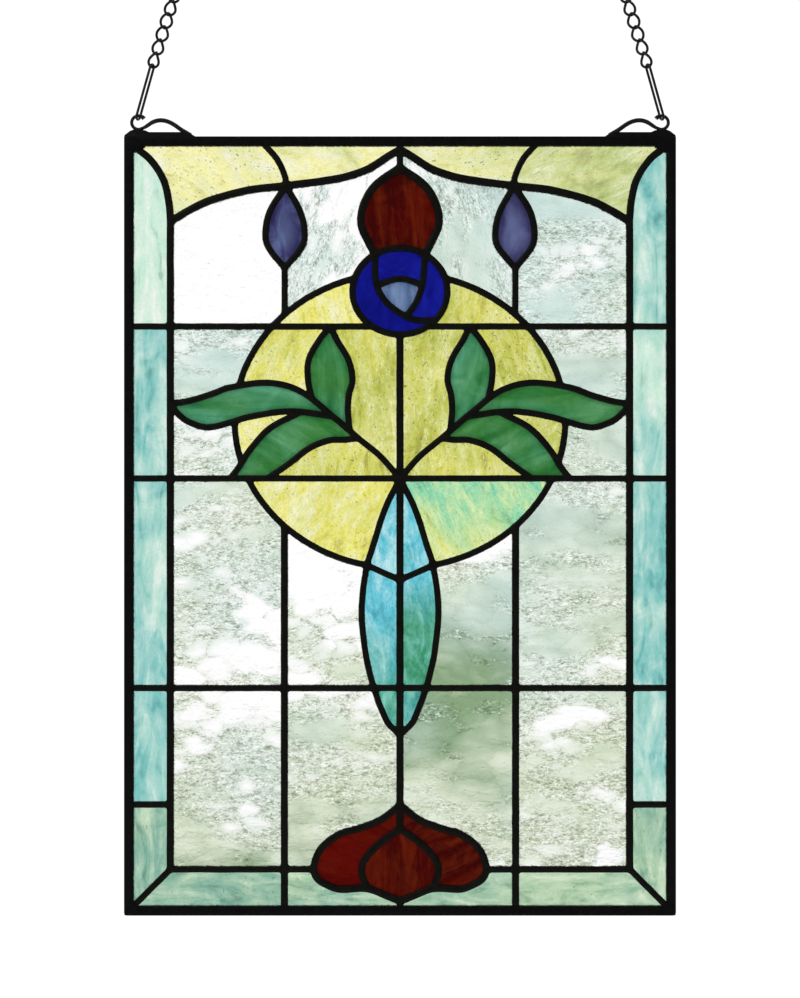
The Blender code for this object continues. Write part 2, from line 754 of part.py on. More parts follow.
def build_leading(lines, finish):
    """The lattice: two faces of flat lead, and the heart that keeps them apart between panes."""

    def face_margin(line):
        return line.face / 2 or GAP

    def heart_margin(line):
        return HEART_THICKNESS / 2 if line.face else 2 * GAP

    faces = lattice_loops(lines, face_margin)
    hearts = lattice_loops([line for line in lines if not line.seam], heart_margin)
    inner = GLASS_THICKNESS / 2 + GLASS_PLAY
    outer = inner + FLANGE_THICKNESS
    body = bmesh.new()
    front = [(faces, -outer), (faces, -inner), (hearts, -inner)]
    back = [(loops, -depth) for loops, depth in reversed(front)]
    rims = [edge_loops(body, loops, depth) for loops, depth in front + back]
    for near, far in (rims[0:2], rims[2:4], rims[4:6]):
        for a, b in zip(near, far):
            body.faces.new((a.verts[0], a.verts[1], b.verts[1], b.verts[0]))
    for flat in (rims[0], rims[1] + rims[2], rims[3] + rims[4], rims[5]):
        fill_between(body, flat)
    bmesh.ops.recalc_face_normals(body, faces=body.faces)
    mesh = bpy.data.meshes.new("leading")
    body.to_mesh(mesh)
    body.free()
    mesh.materials.append(finish)
    lattice = bpy.data.objects.new("leading", mesh)
    bpy.data.collections["Leaded panel"].objects.link(lattice)


def build_glass(lines, finishes):
    """Every pane, cut to lie in the channels of the leading and of the frame."""

    def glass_margin(line):
        return HEART_THICKNESS / 2 + GAP if line.face else -GLASS_IN_FRAME

    found = cells([line for line in lines if not line.seam])
    for name, (x, z), glass in pane_places():
        seed = at(x, z)
        for cell in found:
            if inside(seed, outline(cell)):
                loop = outline(inset(cell, glass_margin))
                plate(name, [loop], GLASS_THICKNESS, finishes[glass])
                break


def leaning(angle):
    """The direction, in X and Z, that leans in from upright on the left side."""
    return Vector((math.sin(angle), 0.0, math.cos(angle)))


def lug_ring_centre():
    x = -PANEL_WIDTH / 2 + LUG_RING_INSET
    return Vector((x, 0.0, PANEL_HEIGHT + LUG_RING_RISE))


def hook_ends():
    """Centres of the round ends of the left hook, at the lug's ring and at the chain."""
    straight = HOOK_LENGTH - HOOK_OPENING - 2 * HOOK_WIRE
    low = lug_ring_centre() + Vector((0.0, 0.0, LUG_RING_RADIUS))
    return low, low + leaning(HOOK_LEAN) * straight


def chain_places():
    """Centres of the left chain's links, and of its last ring."""
    hook_top = hook_ends()[1]
    inner = HOOK_OPENING / 2 - LINK_WIRE / 2 - GAP
    half = (LINK_LENGTH - LINK_WIRE) / 2
    pitch = 2 * half - LINK_WIRE + LINK_BITE
    up = leaning(CHAIN_LEAN)
    start = hook_top + leaning(HOOK_LEAN) * inner + up * half
    links = [start + up * pitch * i for i in range(CHAIN_LINKS)]
    touching = (LINK_WIRE + RING_WIRE) / 2 - LINK_BITE
    ring = links[-1] + up * (half - touching + (RING_WIDTH - RING_WIRE) / 2)
    return links, ring


def hang_height():
    """Height of the last rings' bearing points over the panel's bottom edge."""
    ring = chain_places()[1]
    return ring.z + (RING_WIDTH / 2 - RING_WIRE) * math.cos(CHAIN_LEAN)


def side_points(points, mirror):
    return [(-p[0] if mirror else p[0], *p[1:]) for p in points]


def lug_path():
    """The left lug's wire: curled tip, open ring, then the low hump along the frame."""
    centre = lug_ring_centre()
    points = []
    for i in range(13):
        angle = math.radians(35 + (285 - 35) * i / 12)
        x = centre.x + LUG_RING_RADIUS * math.cos(angle)
        z = centre.z + LUG_RING_RADIUS * math.sin(angle)
        points.append((x, 0.0, z, LUG_TIP_WIRE / LUG_WIRE if i == 0 else 1.0))
    left = -PANEL_WIDTH / 2
    top = PANEL_HEIGHT
    apex = Vector((left + HUMP_INSET, top + HUMP_RISE))
    foot = Vector((points[-1][0], points[-1][2]))
    end = Vector((left + LUG_LENGTH - 3.5 * MM, top + LUG_WIRE / 2 + GAP))
    hump = [foot, foot.lerp(apex, 0.22), foot.lerp(apex, 0.62) + Vector((0.0, 1.4 * MM)), apex]
    hump += [apex.lerp(end, 0.32) + Vector((0.0, 1.6 * MM)), apex.lerp(end, 0.72), end]
    curve = smooth(hump)[1:]
    points += [(p.x, 0.0, p.y, HUMP_WIRE / LUG_WIRE) for p in curve[:-1]]
    points.append((curve[-1].x, 0.0, curve[-1].y, 1.0))
    return points


def solder_outline():
    """The left lug's solder, from the frame's corner to where the wire comes down."""
    left = -PANEL_WIDTH / 2
    base = PANEL_HEIGHT + GAP
    top = PANEL_HEIGHT + SOLDER_RISE
    ring = lug_ring_centre()
    foot = left + LUG_LENGTH - 7.5 * MM
    return [
        Vector((left, base)),
        Vector((left + LUG_LENGTH, base)),
        Vector((foot, PANEL_HEIGHT + SOLDER_RISE + 1.0 * MM)),
        Vector((foot - 3.6 * MM, top)),
        Vector((ring.x + 8.0 * MM, top)),
        Vector((ring.x + 5.5 * MM, top + 1.4 * MM)),
        Vector((ring.x - 2.5 * MM, ring.z - LUG_RING_RADIUS)),
        Vector((left + 4.6 * MM, PANEL_HEIGHT + 4.6 * MM)),
        Vector((left, PANEL_HEIGHT + 1.0 * MM)),
    ]


def build_lug(name, mirror, finish):
    solder = solder_outline()
    if mirror:
        solder = mirrored(reversed(solder))
    bent = wire("bent", side_points(lug_path(), mirror), LUG_WIRE, finish)
    combined(plate(name, [solder], SOLDER_DEPTH, finish), [bent])


def build_hook(name, mirror, finish):
    """A long closed link: two straight strands and two half-round ends."""
    low, high = hook_ends()
    up = leaning(HOOK_LEAN)
    across = Vector((up.z, 0.0, -up.x)) * math.sin(HOOK_TURN) + Vector((0.0, math.cos(HOOK_TURN), 0.0))
    radius = (HOOK_OPENING + HOOK_WIRE) / 2
    points = []
    for centre, start in ((high, 0.0), (low, math.pi)):
        for i in range(9):
            angle = start + math.pi * i / 8
            point = centre + across * radius * math.cos(angle) + up * radius * math.sin(angle)
            points.append(tuple(point))
    wire(name, side_points(points, mirror), HOOK_WIRE, finish, True)


def link_points(centre, facing):
    """A twisted link's wire. Its round ends stand a quarter turn apart about the chain."""
    up = leaning(CHAIN_LEAN)
    flat = Vector((up.z, 0.0, -up.x))
    half = (LINK_LENGTH - LINK_WIRE) / 2
    half_width = (LINK_WIDTH - LINK_WIRE) / 2
    points = []
    for i in range(12):
        angle = 2 * math.pi * i / 12
        along = math.cos(angle)
        turn = facing + LINK_TWIST / 2 * along
        side = flat * math.cos(turn) + Vector((0.0, math.sin(turn), 0.0))
        points.append(tuple(centre + up * half * along + side * half_width * math.sin(angle)))
    return points


def ring_points(centre):
    radius = (RING_WIDTH - RING_WIRE) / 2
    up = leaning(CHAIN_LEAN)
    flat = Vector((up.z, 0.0, -up.x))
    points = []
    for i in range(14):
        angle = 2 * math.pi * i / 14
        points.append(tuple(centre + up * radius * math.cos(angle) + flat * radius * math.sin(angle)))
    return points


def build_chain(name, mirror, finish):
    """The links and the last ring, each joined to the next where they bear on each other."""
    centres, ring = chain_places()
    links = []
    for i, centre in enumerate(centres):
        facing = LINK_FACING - CHAIN_SWAY * math.sin(math.pi * i / (CHAIN_LINKS - 1)) ** 2
        points = side_points(link_points(centre, facing), mirror)
        links.append(wire("link", points, LINK_WIRE, finish, True, 0))
    links.append(wire("ring", side_points(ring_points(ring), mirror), RING_WIRE, finish, True, 0))
    links[0].name = name
    combined(links[0], links[1:])


def build():
    for obj in list(bpy.data.objects):
        bpy.data.objects.remove(obj)
    collection = bpy.data.collections.new("Leaded panel")
    bpy.context.scene.collection.children.link(collection)
    lead = material("blackened_lead", (0.012, 0.013, 0.011), 0.45, 0.6)
    channel = material("black_channel", (0.010, 0.011, 0.010), 0.5, 0.5)
    steel = material("black_wire", (0.015, 0.016, 0.013), 0.35, 0.8)
    glasses = {}
    for name, colour in GLASS_COLOURS.items():
        glasses[name] = material("glass_" + name, colour, 0.15, 0.0, 0.8)
    lines = all_lines()
    build_frame(channel)
    build_leading(lines, lead)
    build_glass(lines, glasses)
    for side, mirror in (("left", False), ("right", True)):
        build_lug("lug_" + side, mirror, steel)
        build_hook("hook_" + side, mirror, steel)
        build_chain("chain_" + side, mirror, steel)


build()
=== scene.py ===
import math
from typing import NamedTuple

import bmesh
import bpy
from bpy.props import FloatProperty, FloatVectorProperty, PointerProperty
from bpy.types import Operator, Panel, PropertyGroup
from mathutils import Matrix, Vector, kdtree, noise
from mathutils.geometry import delaunay_2d_cdt, interpolate_bezier, intersect_line_line_2d


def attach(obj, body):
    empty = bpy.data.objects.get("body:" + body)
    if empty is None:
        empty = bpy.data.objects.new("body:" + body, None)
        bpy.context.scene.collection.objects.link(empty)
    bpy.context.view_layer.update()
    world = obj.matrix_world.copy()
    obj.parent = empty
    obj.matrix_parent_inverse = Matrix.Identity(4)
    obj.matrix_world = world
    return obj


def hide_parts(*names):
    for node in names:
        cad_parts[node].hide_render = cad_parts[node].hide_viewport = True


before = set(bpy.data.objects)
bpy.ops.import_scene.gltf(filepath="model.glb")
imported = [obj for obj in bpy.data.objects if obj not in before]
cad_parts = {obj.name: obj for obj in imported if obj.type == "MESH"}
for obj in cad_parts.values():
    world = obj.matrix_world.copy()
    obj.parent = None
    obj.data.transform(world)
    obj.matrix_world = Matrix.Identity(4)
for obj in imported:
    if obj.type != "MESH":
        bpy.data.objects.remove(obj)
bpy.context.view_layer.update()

bl_info = {
    "name": "Leaded glass panel",
    "version": (1, 0, 0),
    "blender": (4, 5, 0),
    "location": "3D View > Sidebar > Leaded panel",
    "description": "Dresses a leaded glass panel with its glass, solder, frame and chains",
    "category": "Object",
}

MM = 0.001
IN_MM = 1000

# The panel, as in the CAD model
PANEL_WIDTH = 431.8 * MM
PANEL_HEIGHT = 609.6 * MM
DRAWING = (431.8, 609.6)
PANEL_BOTTOM = -737.9149 * MM
FRAME_FACE = 7.5 * MM
GLASS_THICKNESS = 3.0 * MM
HEART_THICKNESS = 1.2 * MM
GLASS_IN_FRAME = 4.0 * MM
LEAD_FACE = 4.3 * MM
BOLD_FACE = 6.0 * MM
TULIP_FACE = 5.5 * MM
FLOWER_FACE = 5.0 * MM
GAP = 0.3 * MM
BORDER_WIDTH = 36.1 * MM
BORDER_BASE = 36.0 * MM
RAIL_UPPER = 461.0 * MM
RAIL_MIDDLE = 342.0 * MM
RAIL_LOWER = 177.9 * MM
RAIL_BORDER = 86.7 * MM
PICTURE_SIDE = -PANEL_WIDTH / 2 + BORDER_WIDTH

# The frame's rounded edges, and the solder on its corners: its outline, in millimetres in and
# along from the frame's outer corner
CHANNEL_EDGE = 0.35 * MM
CORNER_MIDDLE = 1.5 * MM
CORNER_THICKNESS = 2.1 * MM
CORNER_EDGE = 0.6 * MM
CORNER_START = ((0.3, 0.3), (7.0, 0.3), (10.0, 3.0))
CORNER_END = ((3.0, 10.0), (0.3, 7.0))
TOP_CORNER_INNER = ((16.6, 8.1), (12.6, 10.6), (8.0, 12.6))
LOW_CORNER_INNER = ((10.5, 7.6), (8.9, 8.9), (7.6, 10.5))

# The lead: two faces of solder, rounded as beads, and the heart between them
BEAD_BASE = 1.78 * MM
BEAD_EDGE = 0.16 * MM
BEAD_JOINT_RISE = 0.25
BEAD_UNDER_FRAME = 0.5 * MM
FILLET_REACH = 1.9 * MM
FILLET_TURN = math.radians(25)
FILLET_SHARE = 0.3
FILLET_CLEARANCE = 0.2 * MM
EDGE_WOBBLE = 0.16 * MM
EDGE_WAVES = 90
HEIGHT_WOBBLE = 0.12
HEIGHT_WAVES = 120
HEART_HEIGHT = 3.5 * MM
# Rows of points along a bead's edge: how far from it, and how far apart
BEAD_ROWS = ((1.15 * MM, 0.9 * MM), (0.45 * MM, 0.5 * MM))
MIDDLE_ROW_REACH = 1.7 * MM
MIDDLE_ROW_GAP = 1.2 * MM
ROW_TOLERANCE = 0.15 * MM
EDGE_STEP = 0.4 * MM
SHORTEST_STEP = 0.2 * MM
NEAR_FRAME = 0.4 * MM
# These upright lines carry more solder than the others.
UPRIGHT_LINES = ("spine", "tulip_stub", "low_upright", "strip_upright", "border_side")

# Finishes: the glass's index of refraction, the roughness past which glass counts as opal, and
# the depth of the rolled grain, the ripples and the metal's pits
WHITE = (1.0, 1.0, 1.0, 1.0)
BLACK = (0.0, 0.0, 0.0, 1.0)
CLEAR_INDEX = 1.5
OPAL_INDEX = 1.42
OPAL_ROUGHNESS = 0.35
STREAK_DEPTH = 1.2 * MM
PIT_DEPTH = 0.5 * MM
RIPPLE_DEPTH = 1.6 * MM
# Distance from the lead over which a pane's painted shade and painted glow are spread, and how finely
# that is measured
PAINTED_SHADE_REACH = 14 * MM
OUTLINE_STEP = 0.5 * MM
# The relief's waves: their lengths in millimetres, and the share of each
CLEAR_WAVES = ((9.0, 0.5), (22.0, 0.5))
COLOURED_WAVES = ((16.0, 0.7), (6.0, 0.2))
# How much wider the relief's grid is on coloured glass, and how far apart sheets of glass lie
COLOURED_STEP = 1.4
SHEET_SHIFT = 3.0

# Lugs of bent wire
LUG_WIRE = 2.4 * MM
HUMP_WIRE = 3.2 * MM
LUG_TIP_SWELL = 0.38
LUG_RING_RADIUS = 5.3 * MM
LUG_RING_INSET = 11.0 * MM
LUG_RING_RISE = 11.2 * MM
LUG_LENGTH = 55.9 * MM
HUMP_RISE = 13.0 * MM
HUMP_INSET = 29.1 * MM
SOLDER_DEPTH = 5.0 * MM
SOLDER_RISE = 3.6 * MM
SOLDER_EDGE = 1.1 * MM

# Long wire links between the lugs and the chains
HOOK_WIRE = 1.8 * MM
HOOK_LENGTH = 46.4 * MM
HOOK_OPENING = 4.1 * MM
HOOK_LEAN = math.radians(15.6)
HOOK_TURN = math.radians(21.0)

# Chains of twisted links, and their last rings
LINK_WIRE = 1.9 * MM
LINK_LENGTH = 14.0 * MM
LINK_WIDTH = 10.9 * MM
LINK_BITE = 0.5 * MM
LINK_TWIST = math.radians(90.0)
LINK_FACING = math.radians(45.0)
CHAIN_SWAY = math.radians(25.0)
CHAIN_LEAN = math.radians(17.5)
CHAIN_LINKS = 6
RING_WIRE = 1.9 * MM
RING_WIDTH = 16.0 * MM

# How finely curves are cut into straight pieces
CURVE_TOLERANCE = 0.06 * MM
SIDE_TOLERANCE = 0.03 * MM
JOIN_TOLERANCE = 0.01 * MM
OVERRUN = 5.0 * MM
SMALLEST_CELL = 20.0 * MM * MM
SHORTEST_EDGE = 0.25 * MM
SHARPEST_MITRE = 0.3
WELD = 1e-6
ARC_STEPS = 32
LINK_STEPS = 36
RING_STEPS = 40

# The stage
FLOOR_RADIUS = 1.25
FLOOR_HEIGHT = -1.12
CAMERA_PLACE = (0.0, -1.846, -0.412)
CAMERA_LENS = 85


class Line(NamedTuple):
    """A lead line: the points of its centre, and its face, the width that shows."""

    name: str
    points: list
    face: float


def at(x, z):
    """A point of the drawing, in its millimetres, as a point of the panel."""
    return Vector((x * PANEL_WIDTH / DRAWING[0], z * PANEL_HEIGHT / DRAWING[1]))


def drawn_x(x):
    return at(x, 0).x


def drawn_z(z):
    return at(0, z).y


def drawn(*pairs):
    return [at(x, z) for x, z in pairs]


def mirrored(points):
    return [Vector((-p.x, p.y)) for p in points]


def thinned(points, tolerance=CURVE_TOLERANCE):
    """Only the points that a line needs to stay within the tolerance of its curve."""
    first, last = points[0], points[-1]
    if len(points) < 3:
        return [first, last]
    chord = last - first
    farthest, distance = 0, 0.0
    for i in range(1, len(points) - 1):
        offset = points[i] - first
        if chord.length < JOIN_TOLERANCE:
            away = offset.length
        else:
            away = abs(chord.cross(offset)) / chord.length
        if away > distance:
            farthest, distance = i, away
    if distance <= tolerance:
        return [first, last]
    return thinned(points[: farthest + 1], tolerance)[:-1] + thinned(points[farthest:], tolerance)


def smooth(points, joint=None, steps=12):
    """A smooth curve through the points. It keeps a joint, where other lines end on it."""
    count = len(points)
    tangents = []
    for i in range(count):
        before = points[max(i - 1, 0)]
        after = points[min(i + 1, count - 1)]
        tangents.append((after - before).normalized())
    curve = [points[0]]
    for i in range(count - 1):
        third = (points[i + 1] - points[i]).length / 3
        handle_out = points[i] + tangents[i] * third
        handle_in = points[i + 1] - tangents[i + 1] * third
        curve += interpolate_bezier(points[i], handle_out, handle_in, points[i + 1], steps - 1)[1:]
        curve[-1] = points[i + 1]
    curve = [Vector(p[:2]) for p in curve]
    if joint is None:
        return thinned(curve)
    cut = min(range(len(curve)), key=lambda i: (curve[i] - joint).length)
    return thinned(curve[: cut + 1])[:-1] + thinned(curve[cut:])


def ellipse_arc(centre, half_width, half_height, start, end, steps=48):
    """An arc of an ellipse, between two angles in degrees from +X towards +Z."""
    arc = []
    for i in range(steps + 1):
        angle = math.radians(start + (end - start) * i / steps)
        arc.append(centre + Vector((half_width * math.cos(angle), half_height * math.sin(angle))))
    return thinned(arc)


def lead(name, points, face=LEAD_FACE, start=False, end=False):
    """A lead line, carried on past the lines it starts or ends at. The loose tips drop off later."""
    points = list(points)
    if start:
        points.insert(0, points[0] + (points[0] - points[1]).normalized() * OVERRUN)
    if end:
        points.append(points[-1] + (points[-1] - points[-2]).normalized() * OVERRUN)
    return Line(name, points, face)


def opening_corners(inset=0.0):
    """Corners of the frame's opening, anticlockwise from the bottom left."""
    half = PANEL_WIDTH / 2 - FRAME_FACE - inset
    low = FRAME_FACE + inset
    high = PANEL_HEIGHT - FRAME_FACE - inset
    return [Vector((-half, low)), Vector((half, low)), Vector((half, high)), Vector((-half, high))]


def frame_lines():
    corners = opening_corners()
    names = ("frame_bottom", "frame_right", "frame_top", "frame_left")
    return [Line(name, [corners[i], corners[(i + 1) % 4]], 0.0) for i, name in enumerate(names)]


def leaf_tip():
    """Where the left long leaf's point meets the border's lead line."""
    return Vector((PICTURE_SIDE, drawn_z(400.5)))


def upright_tip():
    """Where the left upright leaf's point meets the upper rail."""
    return Vector((drawn_x(-54.5), RAIL_UPPER))


def leaf_feet():
    """How far across both sides of the left lower leaf end on the middle rail."""
    return drawn_x(-133), drawn_x(-103.5)


def border_lines():
    """The lines that part the border strips from the picture, for the left half."""
    low_corner, _, _, high_corner = opening_corners()
    inner_corner = Vector((PICTURE_SIDE, BORDER_BASE))
    bend = [Vector((PICTURE_SIDE, drawn_z(z))) for z in (530, 545)]
    bend += drawn((-181.3, 560.3), (-185.2, 575.9), (-195.4, 591.6)) + [high_corner]
    tulip_side = Vector((drawn_x(-67.0), BORDER_BASE))
    lines = [
        lead("border_side", [inner_corner, leaf_tip()] + smooth(bend)),
        lead("border_base", [inner_corner, tulip_side], end=True),
        lead("mitre", [low_corner, inner_corner]),
    ]
    for name, height in (("upper", RAIL_UPPER), ("middle", RAIL_MIDDLE), ("border", RAIL_BORDER)):
        strip = [Vector((low_corner.x, height)), Vector((PICTURE_SIDE, height))]
        lines.append(lead("strip_" + name, strip, start=True))
    return lines


def rail_lines():
    """Straight lines across the panel that are their own mirror images."""
    wall = PANEL_WIDTH / 2 - FRAME_FACE
    ends = [PICTURE_SIDE, *leaf_feet(), 0.0]
    middle = [Vector((x, RAIL_MIDDLE)) for x in ends + [-x for x in reversed(ends[:-1])]]
    lower = [Vector((-wall, RAIL_LOWER)), Vector((wall, RAIL_LOWER))]
    return [
        lead("rail_middle", middle),
        lead("rail_lower", lower, start=True, end=True),
    ]


def centre_lines():
    """Upright lines on the panel's axis, and the closed outline of the flower."""
    top = Vector((0.0, PANEL_HEIGHT - FRAME_FACE))
    bottom = Vector((0.0, FRAME_FACE))
    flower = ellipse_arc(at(0, 488.6), drawn_x(37.2), drawn_z(33.9), -90, 90)
    flower += mirrored(reversed(flower[1:-1])) + [flower[0]]
    petal_left = drawn((-19.5, 517.5), (-18.6, 494.4), (-12.3, 481.9), (-4.3, 474.4))
    petal_left += drawn((6.7, 467.8), (15, 465.9), (28.5, 466))
    petal_right = drawn((19.5, 517.5), (17.9, 496.4), (13.3, 481), (5, 468.9))
    petal_brow = drawn((-17.8, 493.3), (0, 498.3), (17.5, 493.7))
    return [
        lead("spine", [flower[0], Vector((0.0, RAIL_MIDDLE)), at(0, 67.8)]),
        lead("bud_stub", [top, at(0, 599.6), at(0, 585.4)]),
        lead("tulip_stub", [at(0, 11), bottom]),
        lead("flower", flower, FLOWER_FACE),
        lead("petal_left", smooth(petal_left), start=True, end=True),
        lead("petal_right", smooth(petal_right), start=True, end=True),
        lead("petal_brow", smooth(petal_brow), start=True, end=True),
    ]


def shoulder_lines():
    """The curve under the top band, the line that parts the band, and both hanging buds."""
    top = PANEL_HEIGHT - FRAME_FACE
    bud_top = at(-89.3, 571.1)
    shoulder = [Vector((PICTURE_SIDE, drawn_z(543)))]
    shoulder += drawn((-164.8, 552.1), (-149.1, 559.5), (-117.8, 567.8)) + [bud_top]
    shoulder += drawn((-55, 575.6), (-39.2, 579), (-23.6, 585), (-9, 594.3), (0, 599.6))
    parting = [Vector((drawn_x(-105), top))] + drawn((-96, 591.6), (-89.9, 578)) + [bud_top]
    bud_outer = [bud_top] + drawn((-101.3, 552.4), (-105.3, 536.8), (-103.6, 524), (-90.3, 506.6))
    bud_inner = [bud_top] + drawn((-78.7, 552.4), (-74.7, 536.8), (-76.4, 524), (-90.3, 506.6))
    stem = drawn((-90.3, 506.6), (-90.3, 470))
    return [
        lead("shoulder", smooth(shoulder, bud_top), BOLD_FACE, start=True),
        lead("band_parting", smooth(parting), start=True),
        lead("bud_outer", smooth(bud_outer)),
        lead("bud_inner", smooth(bud_inner)),
        lead("bud_stem", stem, end=True),
    ]


def red_bud_line():
    bud = drawn(
        (0, 585.4), (-19.6, 571.3), (-28.6, 556), (-30.4, 541), (-24.9, 527.4), (-19.5, 517.5)
    )
    return [lead("red_bud", smooth(bud), BOLD_FACE, end=True)]


def disc_lines():
    """The disc's outline, which stops where the flower and the leaves cover it."""
    centre = at(0, 387.5)
    half_width = drawn_x(129.5)
    half_height = drawn_z(115.7)
    crown = ellipse_arc(centre, half_width, half_height, 106.2, 166)
    gap = ellipse_arc(centre, half_width, half_height, 181, 196.8)
    foot = ellipse_arc(centre, half_width, half_height, 203.2, 258.4)
    foot[-1] = at(-25.9, 274)
    wing = [Vector((PICTURE_SIDE, RAIL_UPPER)), upright_tip(), Vector((drawn_x(-22), RAIL_UPPER))]
    upright = [Vector((drawn_x(-90.5), z)) for z in (drawn_z(304.7), BORDER_BASE, FRAME_FACE)]
    return [
        lead("disc_crown", crown, start=True, end=True),
        lead("disc_gap", gap, start=True, end=True),
        lead("disc_foot", foot, start=True),
        lead("chevron", [at(-25.9, 274), at(0, 262.5)]),
        lead("rail_upper", wing, end=True),
        lead("low_upright", upright[:2], start=True, end=True),
        lead("strip_upright", upright[1:], end=True),
    ]


def leaf_lines():
    """The stem that sweeps up into the long leaf, and the three leaves' other sides."""
    stem = [leaf_tip()] + drawn(
        (-166, 402.6), (-149.1, 407.5), (-133.4, 413.2), (-102.1, 416.9), (-78.6, 410.6), (-55, 392.6)
    )
    stem += drawn((-31.5, 372.6), (-15.8, 359.7)) + [Vector((0.0, RAIL_MIDDLE))]
    long_under = [leaf_tip()] + drawn(
        (-174, 392.8), (-164.8, 386), (-149.1, 382), (-117.8, 390.2), (-86.4, 394.5), (-52.7, 390.7)
    )
    upright_outer = [upright_tip()] + drawn((-63.1, 450.6), (-71.5, 434.9), (-72, 419.2), (-69.2, 405.1))
    upright_inner = [upright_tip()] + drawn((-49.4, 450.6), (-40.4, 434.9), (-37.2, 419.2), (-40, 407.5))
    upright_inner += drawn((-40.8, 395.7), (-39.4, 379.7))
    low_over = drawn((-80, 393), (-102.1, 381.2), (-117.8, 364), (-126, 351))
    over_foot, under_foot = leaf_feet()
    low_over.append(Vector((over_foot, RAIL_MIDDLE)))
    low_under = drawn((-33.1, 373.4), (-43, 372.2), (-55, 371.8), (-70.7, 365.9), (-86.4, 353.8))
    low_under.append(Vector((under_foot, RAIL_MIDDLE)))
    return [
        lead("stem", smooth(stem)),
        lead("long_under", smooth(long_under), end=True),
        lead("upright_outer", smooth(upright_outer), end=True),
        lead("upright_inner", smooth(upright_inner), end=True),
        lead("low_over", smooth(low_over), start=True),
        lead("low_under", smooth(low_under), start=True),
    ]


def pod_line():
    pod = [Vector((0.0, RAIL_MIDDLE))] + drawn((-12, 317.4), (-22.1, 286), (-25.9, 274))
    pod += drawn((-29.6, 248), (-29.6, 227), (-24.3, 192), (-10.8, 152.8), (0, 141))
    return [lead("pod_side", smooth(pod, at(-25.9, 274)))]


def tulip_lines():
    outer = drawn((0, 86.2), (-15.8, 74.4), (-31.5, 68.2), (-47.2, 63.5), (-62, 52), (-67.6, 37))
    outer += drawn((-64.5, 28.5), (-55.4, 23), (-47.2, 20.4), (-25.6, 20.8), (-8.5, 14.3), (0, 11))
    petal = drawn((0, 67.8), (-16.5, 55.8), (-28.5, 42), (-29.6, 31), (-25, 20.8))
    return [
        lead("tulip_outer", smooth(outer), TULIP_FACE),
        lead("tulip_petal", smooth(petal), TULIP_FACE, end=True),
    ]


def all_lines():
    """Every lead line of the panel. The picture is drawn for its left half and mirrored."""
    halves = border_lines() + shoulder_lines() + red_bud_line() + disc_lines() + leaf_lines()
    halves += pod_line() + tulip_lines()
    lines = frame_lines() + rail_lines() + centre_lines()
    # The mirrored ones follow, each left line with its right one.
    for line in halves:
        lines.append(line._replace(name=line.name + "_left"))
        lines.append(line._replace(name=line.name + "_right", points=mirrored(line.points)))
    return lines


def linked_points(lines):
    """The crossings of the lines: each point's place, and its neighbours with the line between."""
    points, edges, owners = [], [], []
    for line in lines:
        first = len(points)
        points += line.points
        for i in range(len(line.points) - 1):
            edges.append((first + i, first + i + 1))
            owners.append(line)
    places, pairs, _, _, origins, _ = delaunay_2d_cdt(points, edges, [], 0, JOIN_TOLERANCE)
    links = {}
    for (a, b), origin in zip(pairs, origins):
        if origin:
            links.setdefault(a, {})[b] = owners[origin[0]]
            links.setdefault(b, {})[a] = owners[origin[0]]
    loose = [a for a in links if len(links[a]) == 1]
    while loose:
        end = loose.pop()
        for neighbour in links.pop(end):
            del links[neighbour][end]
            if len(links[neighbour]) == 1:
                loose.append(neighbour)
    return places, links


def signed_area(points):
    pairs = zip(points, points[1:] + points[:1])
    return sum(a.x * b.y - b.x * a.y for a, b in pairs) / 2


def grouped_sides(steps):
    """One side for each stretch of a cell's edge along one line, as the line and its points."""
    start = next(i for i in range(len(steps)) if steps[i][2].name != steps[i - 1][2].name)
    sides = []
    for a, b, line in steps[start:] + steps[:start]:
        if sides and sides[-1][0].name == line.name:
            sides[-1][1].append(b)
        else:
            sides.append((line, [a, b]))
    return sides


def cells(lines):
    """The closed cells between the lines, each as its sides in anticlockwise order."""
    places, links = linked_points(lines)
    turns = {}
    for a, around in links.items():
        turns[a] = sorted(around, key=lambda b: math.atan2(*reversed(places[b] - places[a])))
    unused = {(a, b) for a in links for b in links[a]}
    found = []
    while unused:
        a, b = min(unused)
        steps = []
        while (a, b) in unused:
            unused.discard((a, b))
            steps.append((places[a], places[b], links[a][b]))
            around = turns[b]
            a, b = b, around[around.index(a) - 1]
        if signed_area([step[0] for step in steps]) > SMALLEST_CELL:
            found.append(grouped_sides(steps))
    return found


def shifted(points, distance):
    """A line moved to its left, and run on past both ends so that it meets its neighbours."""
    directions = [(b - a).normalized() for a, b in zip(points, points[1:])]
    normals = [Vector((-d.y, d.x)) for d in directions]
    moved = [points[0] + normals[0] * distance]
    for i in range(1, len(points) - 1):
        bisector = (normals[i - 1] + normals[i]).normalized()
        moved.append(points[i] + bisector * distance / max(bisector.dot(normals[i]), SHARPEST_MITRE))
    moved.append(points[-1] + normals[-1] * distance)
    reach = abs(distance) * 3 + OVERRUN
    return [moved[0] - directions[0] * reach] + moved + [moved[-1] + directions[-1] * reach]


def meeting(one, two, corner):
    """Where two shifted sides cross nearest to their corner: the point, and how far along each."""
    best = None
    for i in range(len(one) - 1):
        for j in range(len(two) - 1):
            point = intersect_line_line_2d(one[i], one[i + 1], two[j], two[j + 1])
            if point is None:
                continue
            away = (point - corner).length
            if best is None or away < best[0]:
                best = (away, point, i, j)
    return best


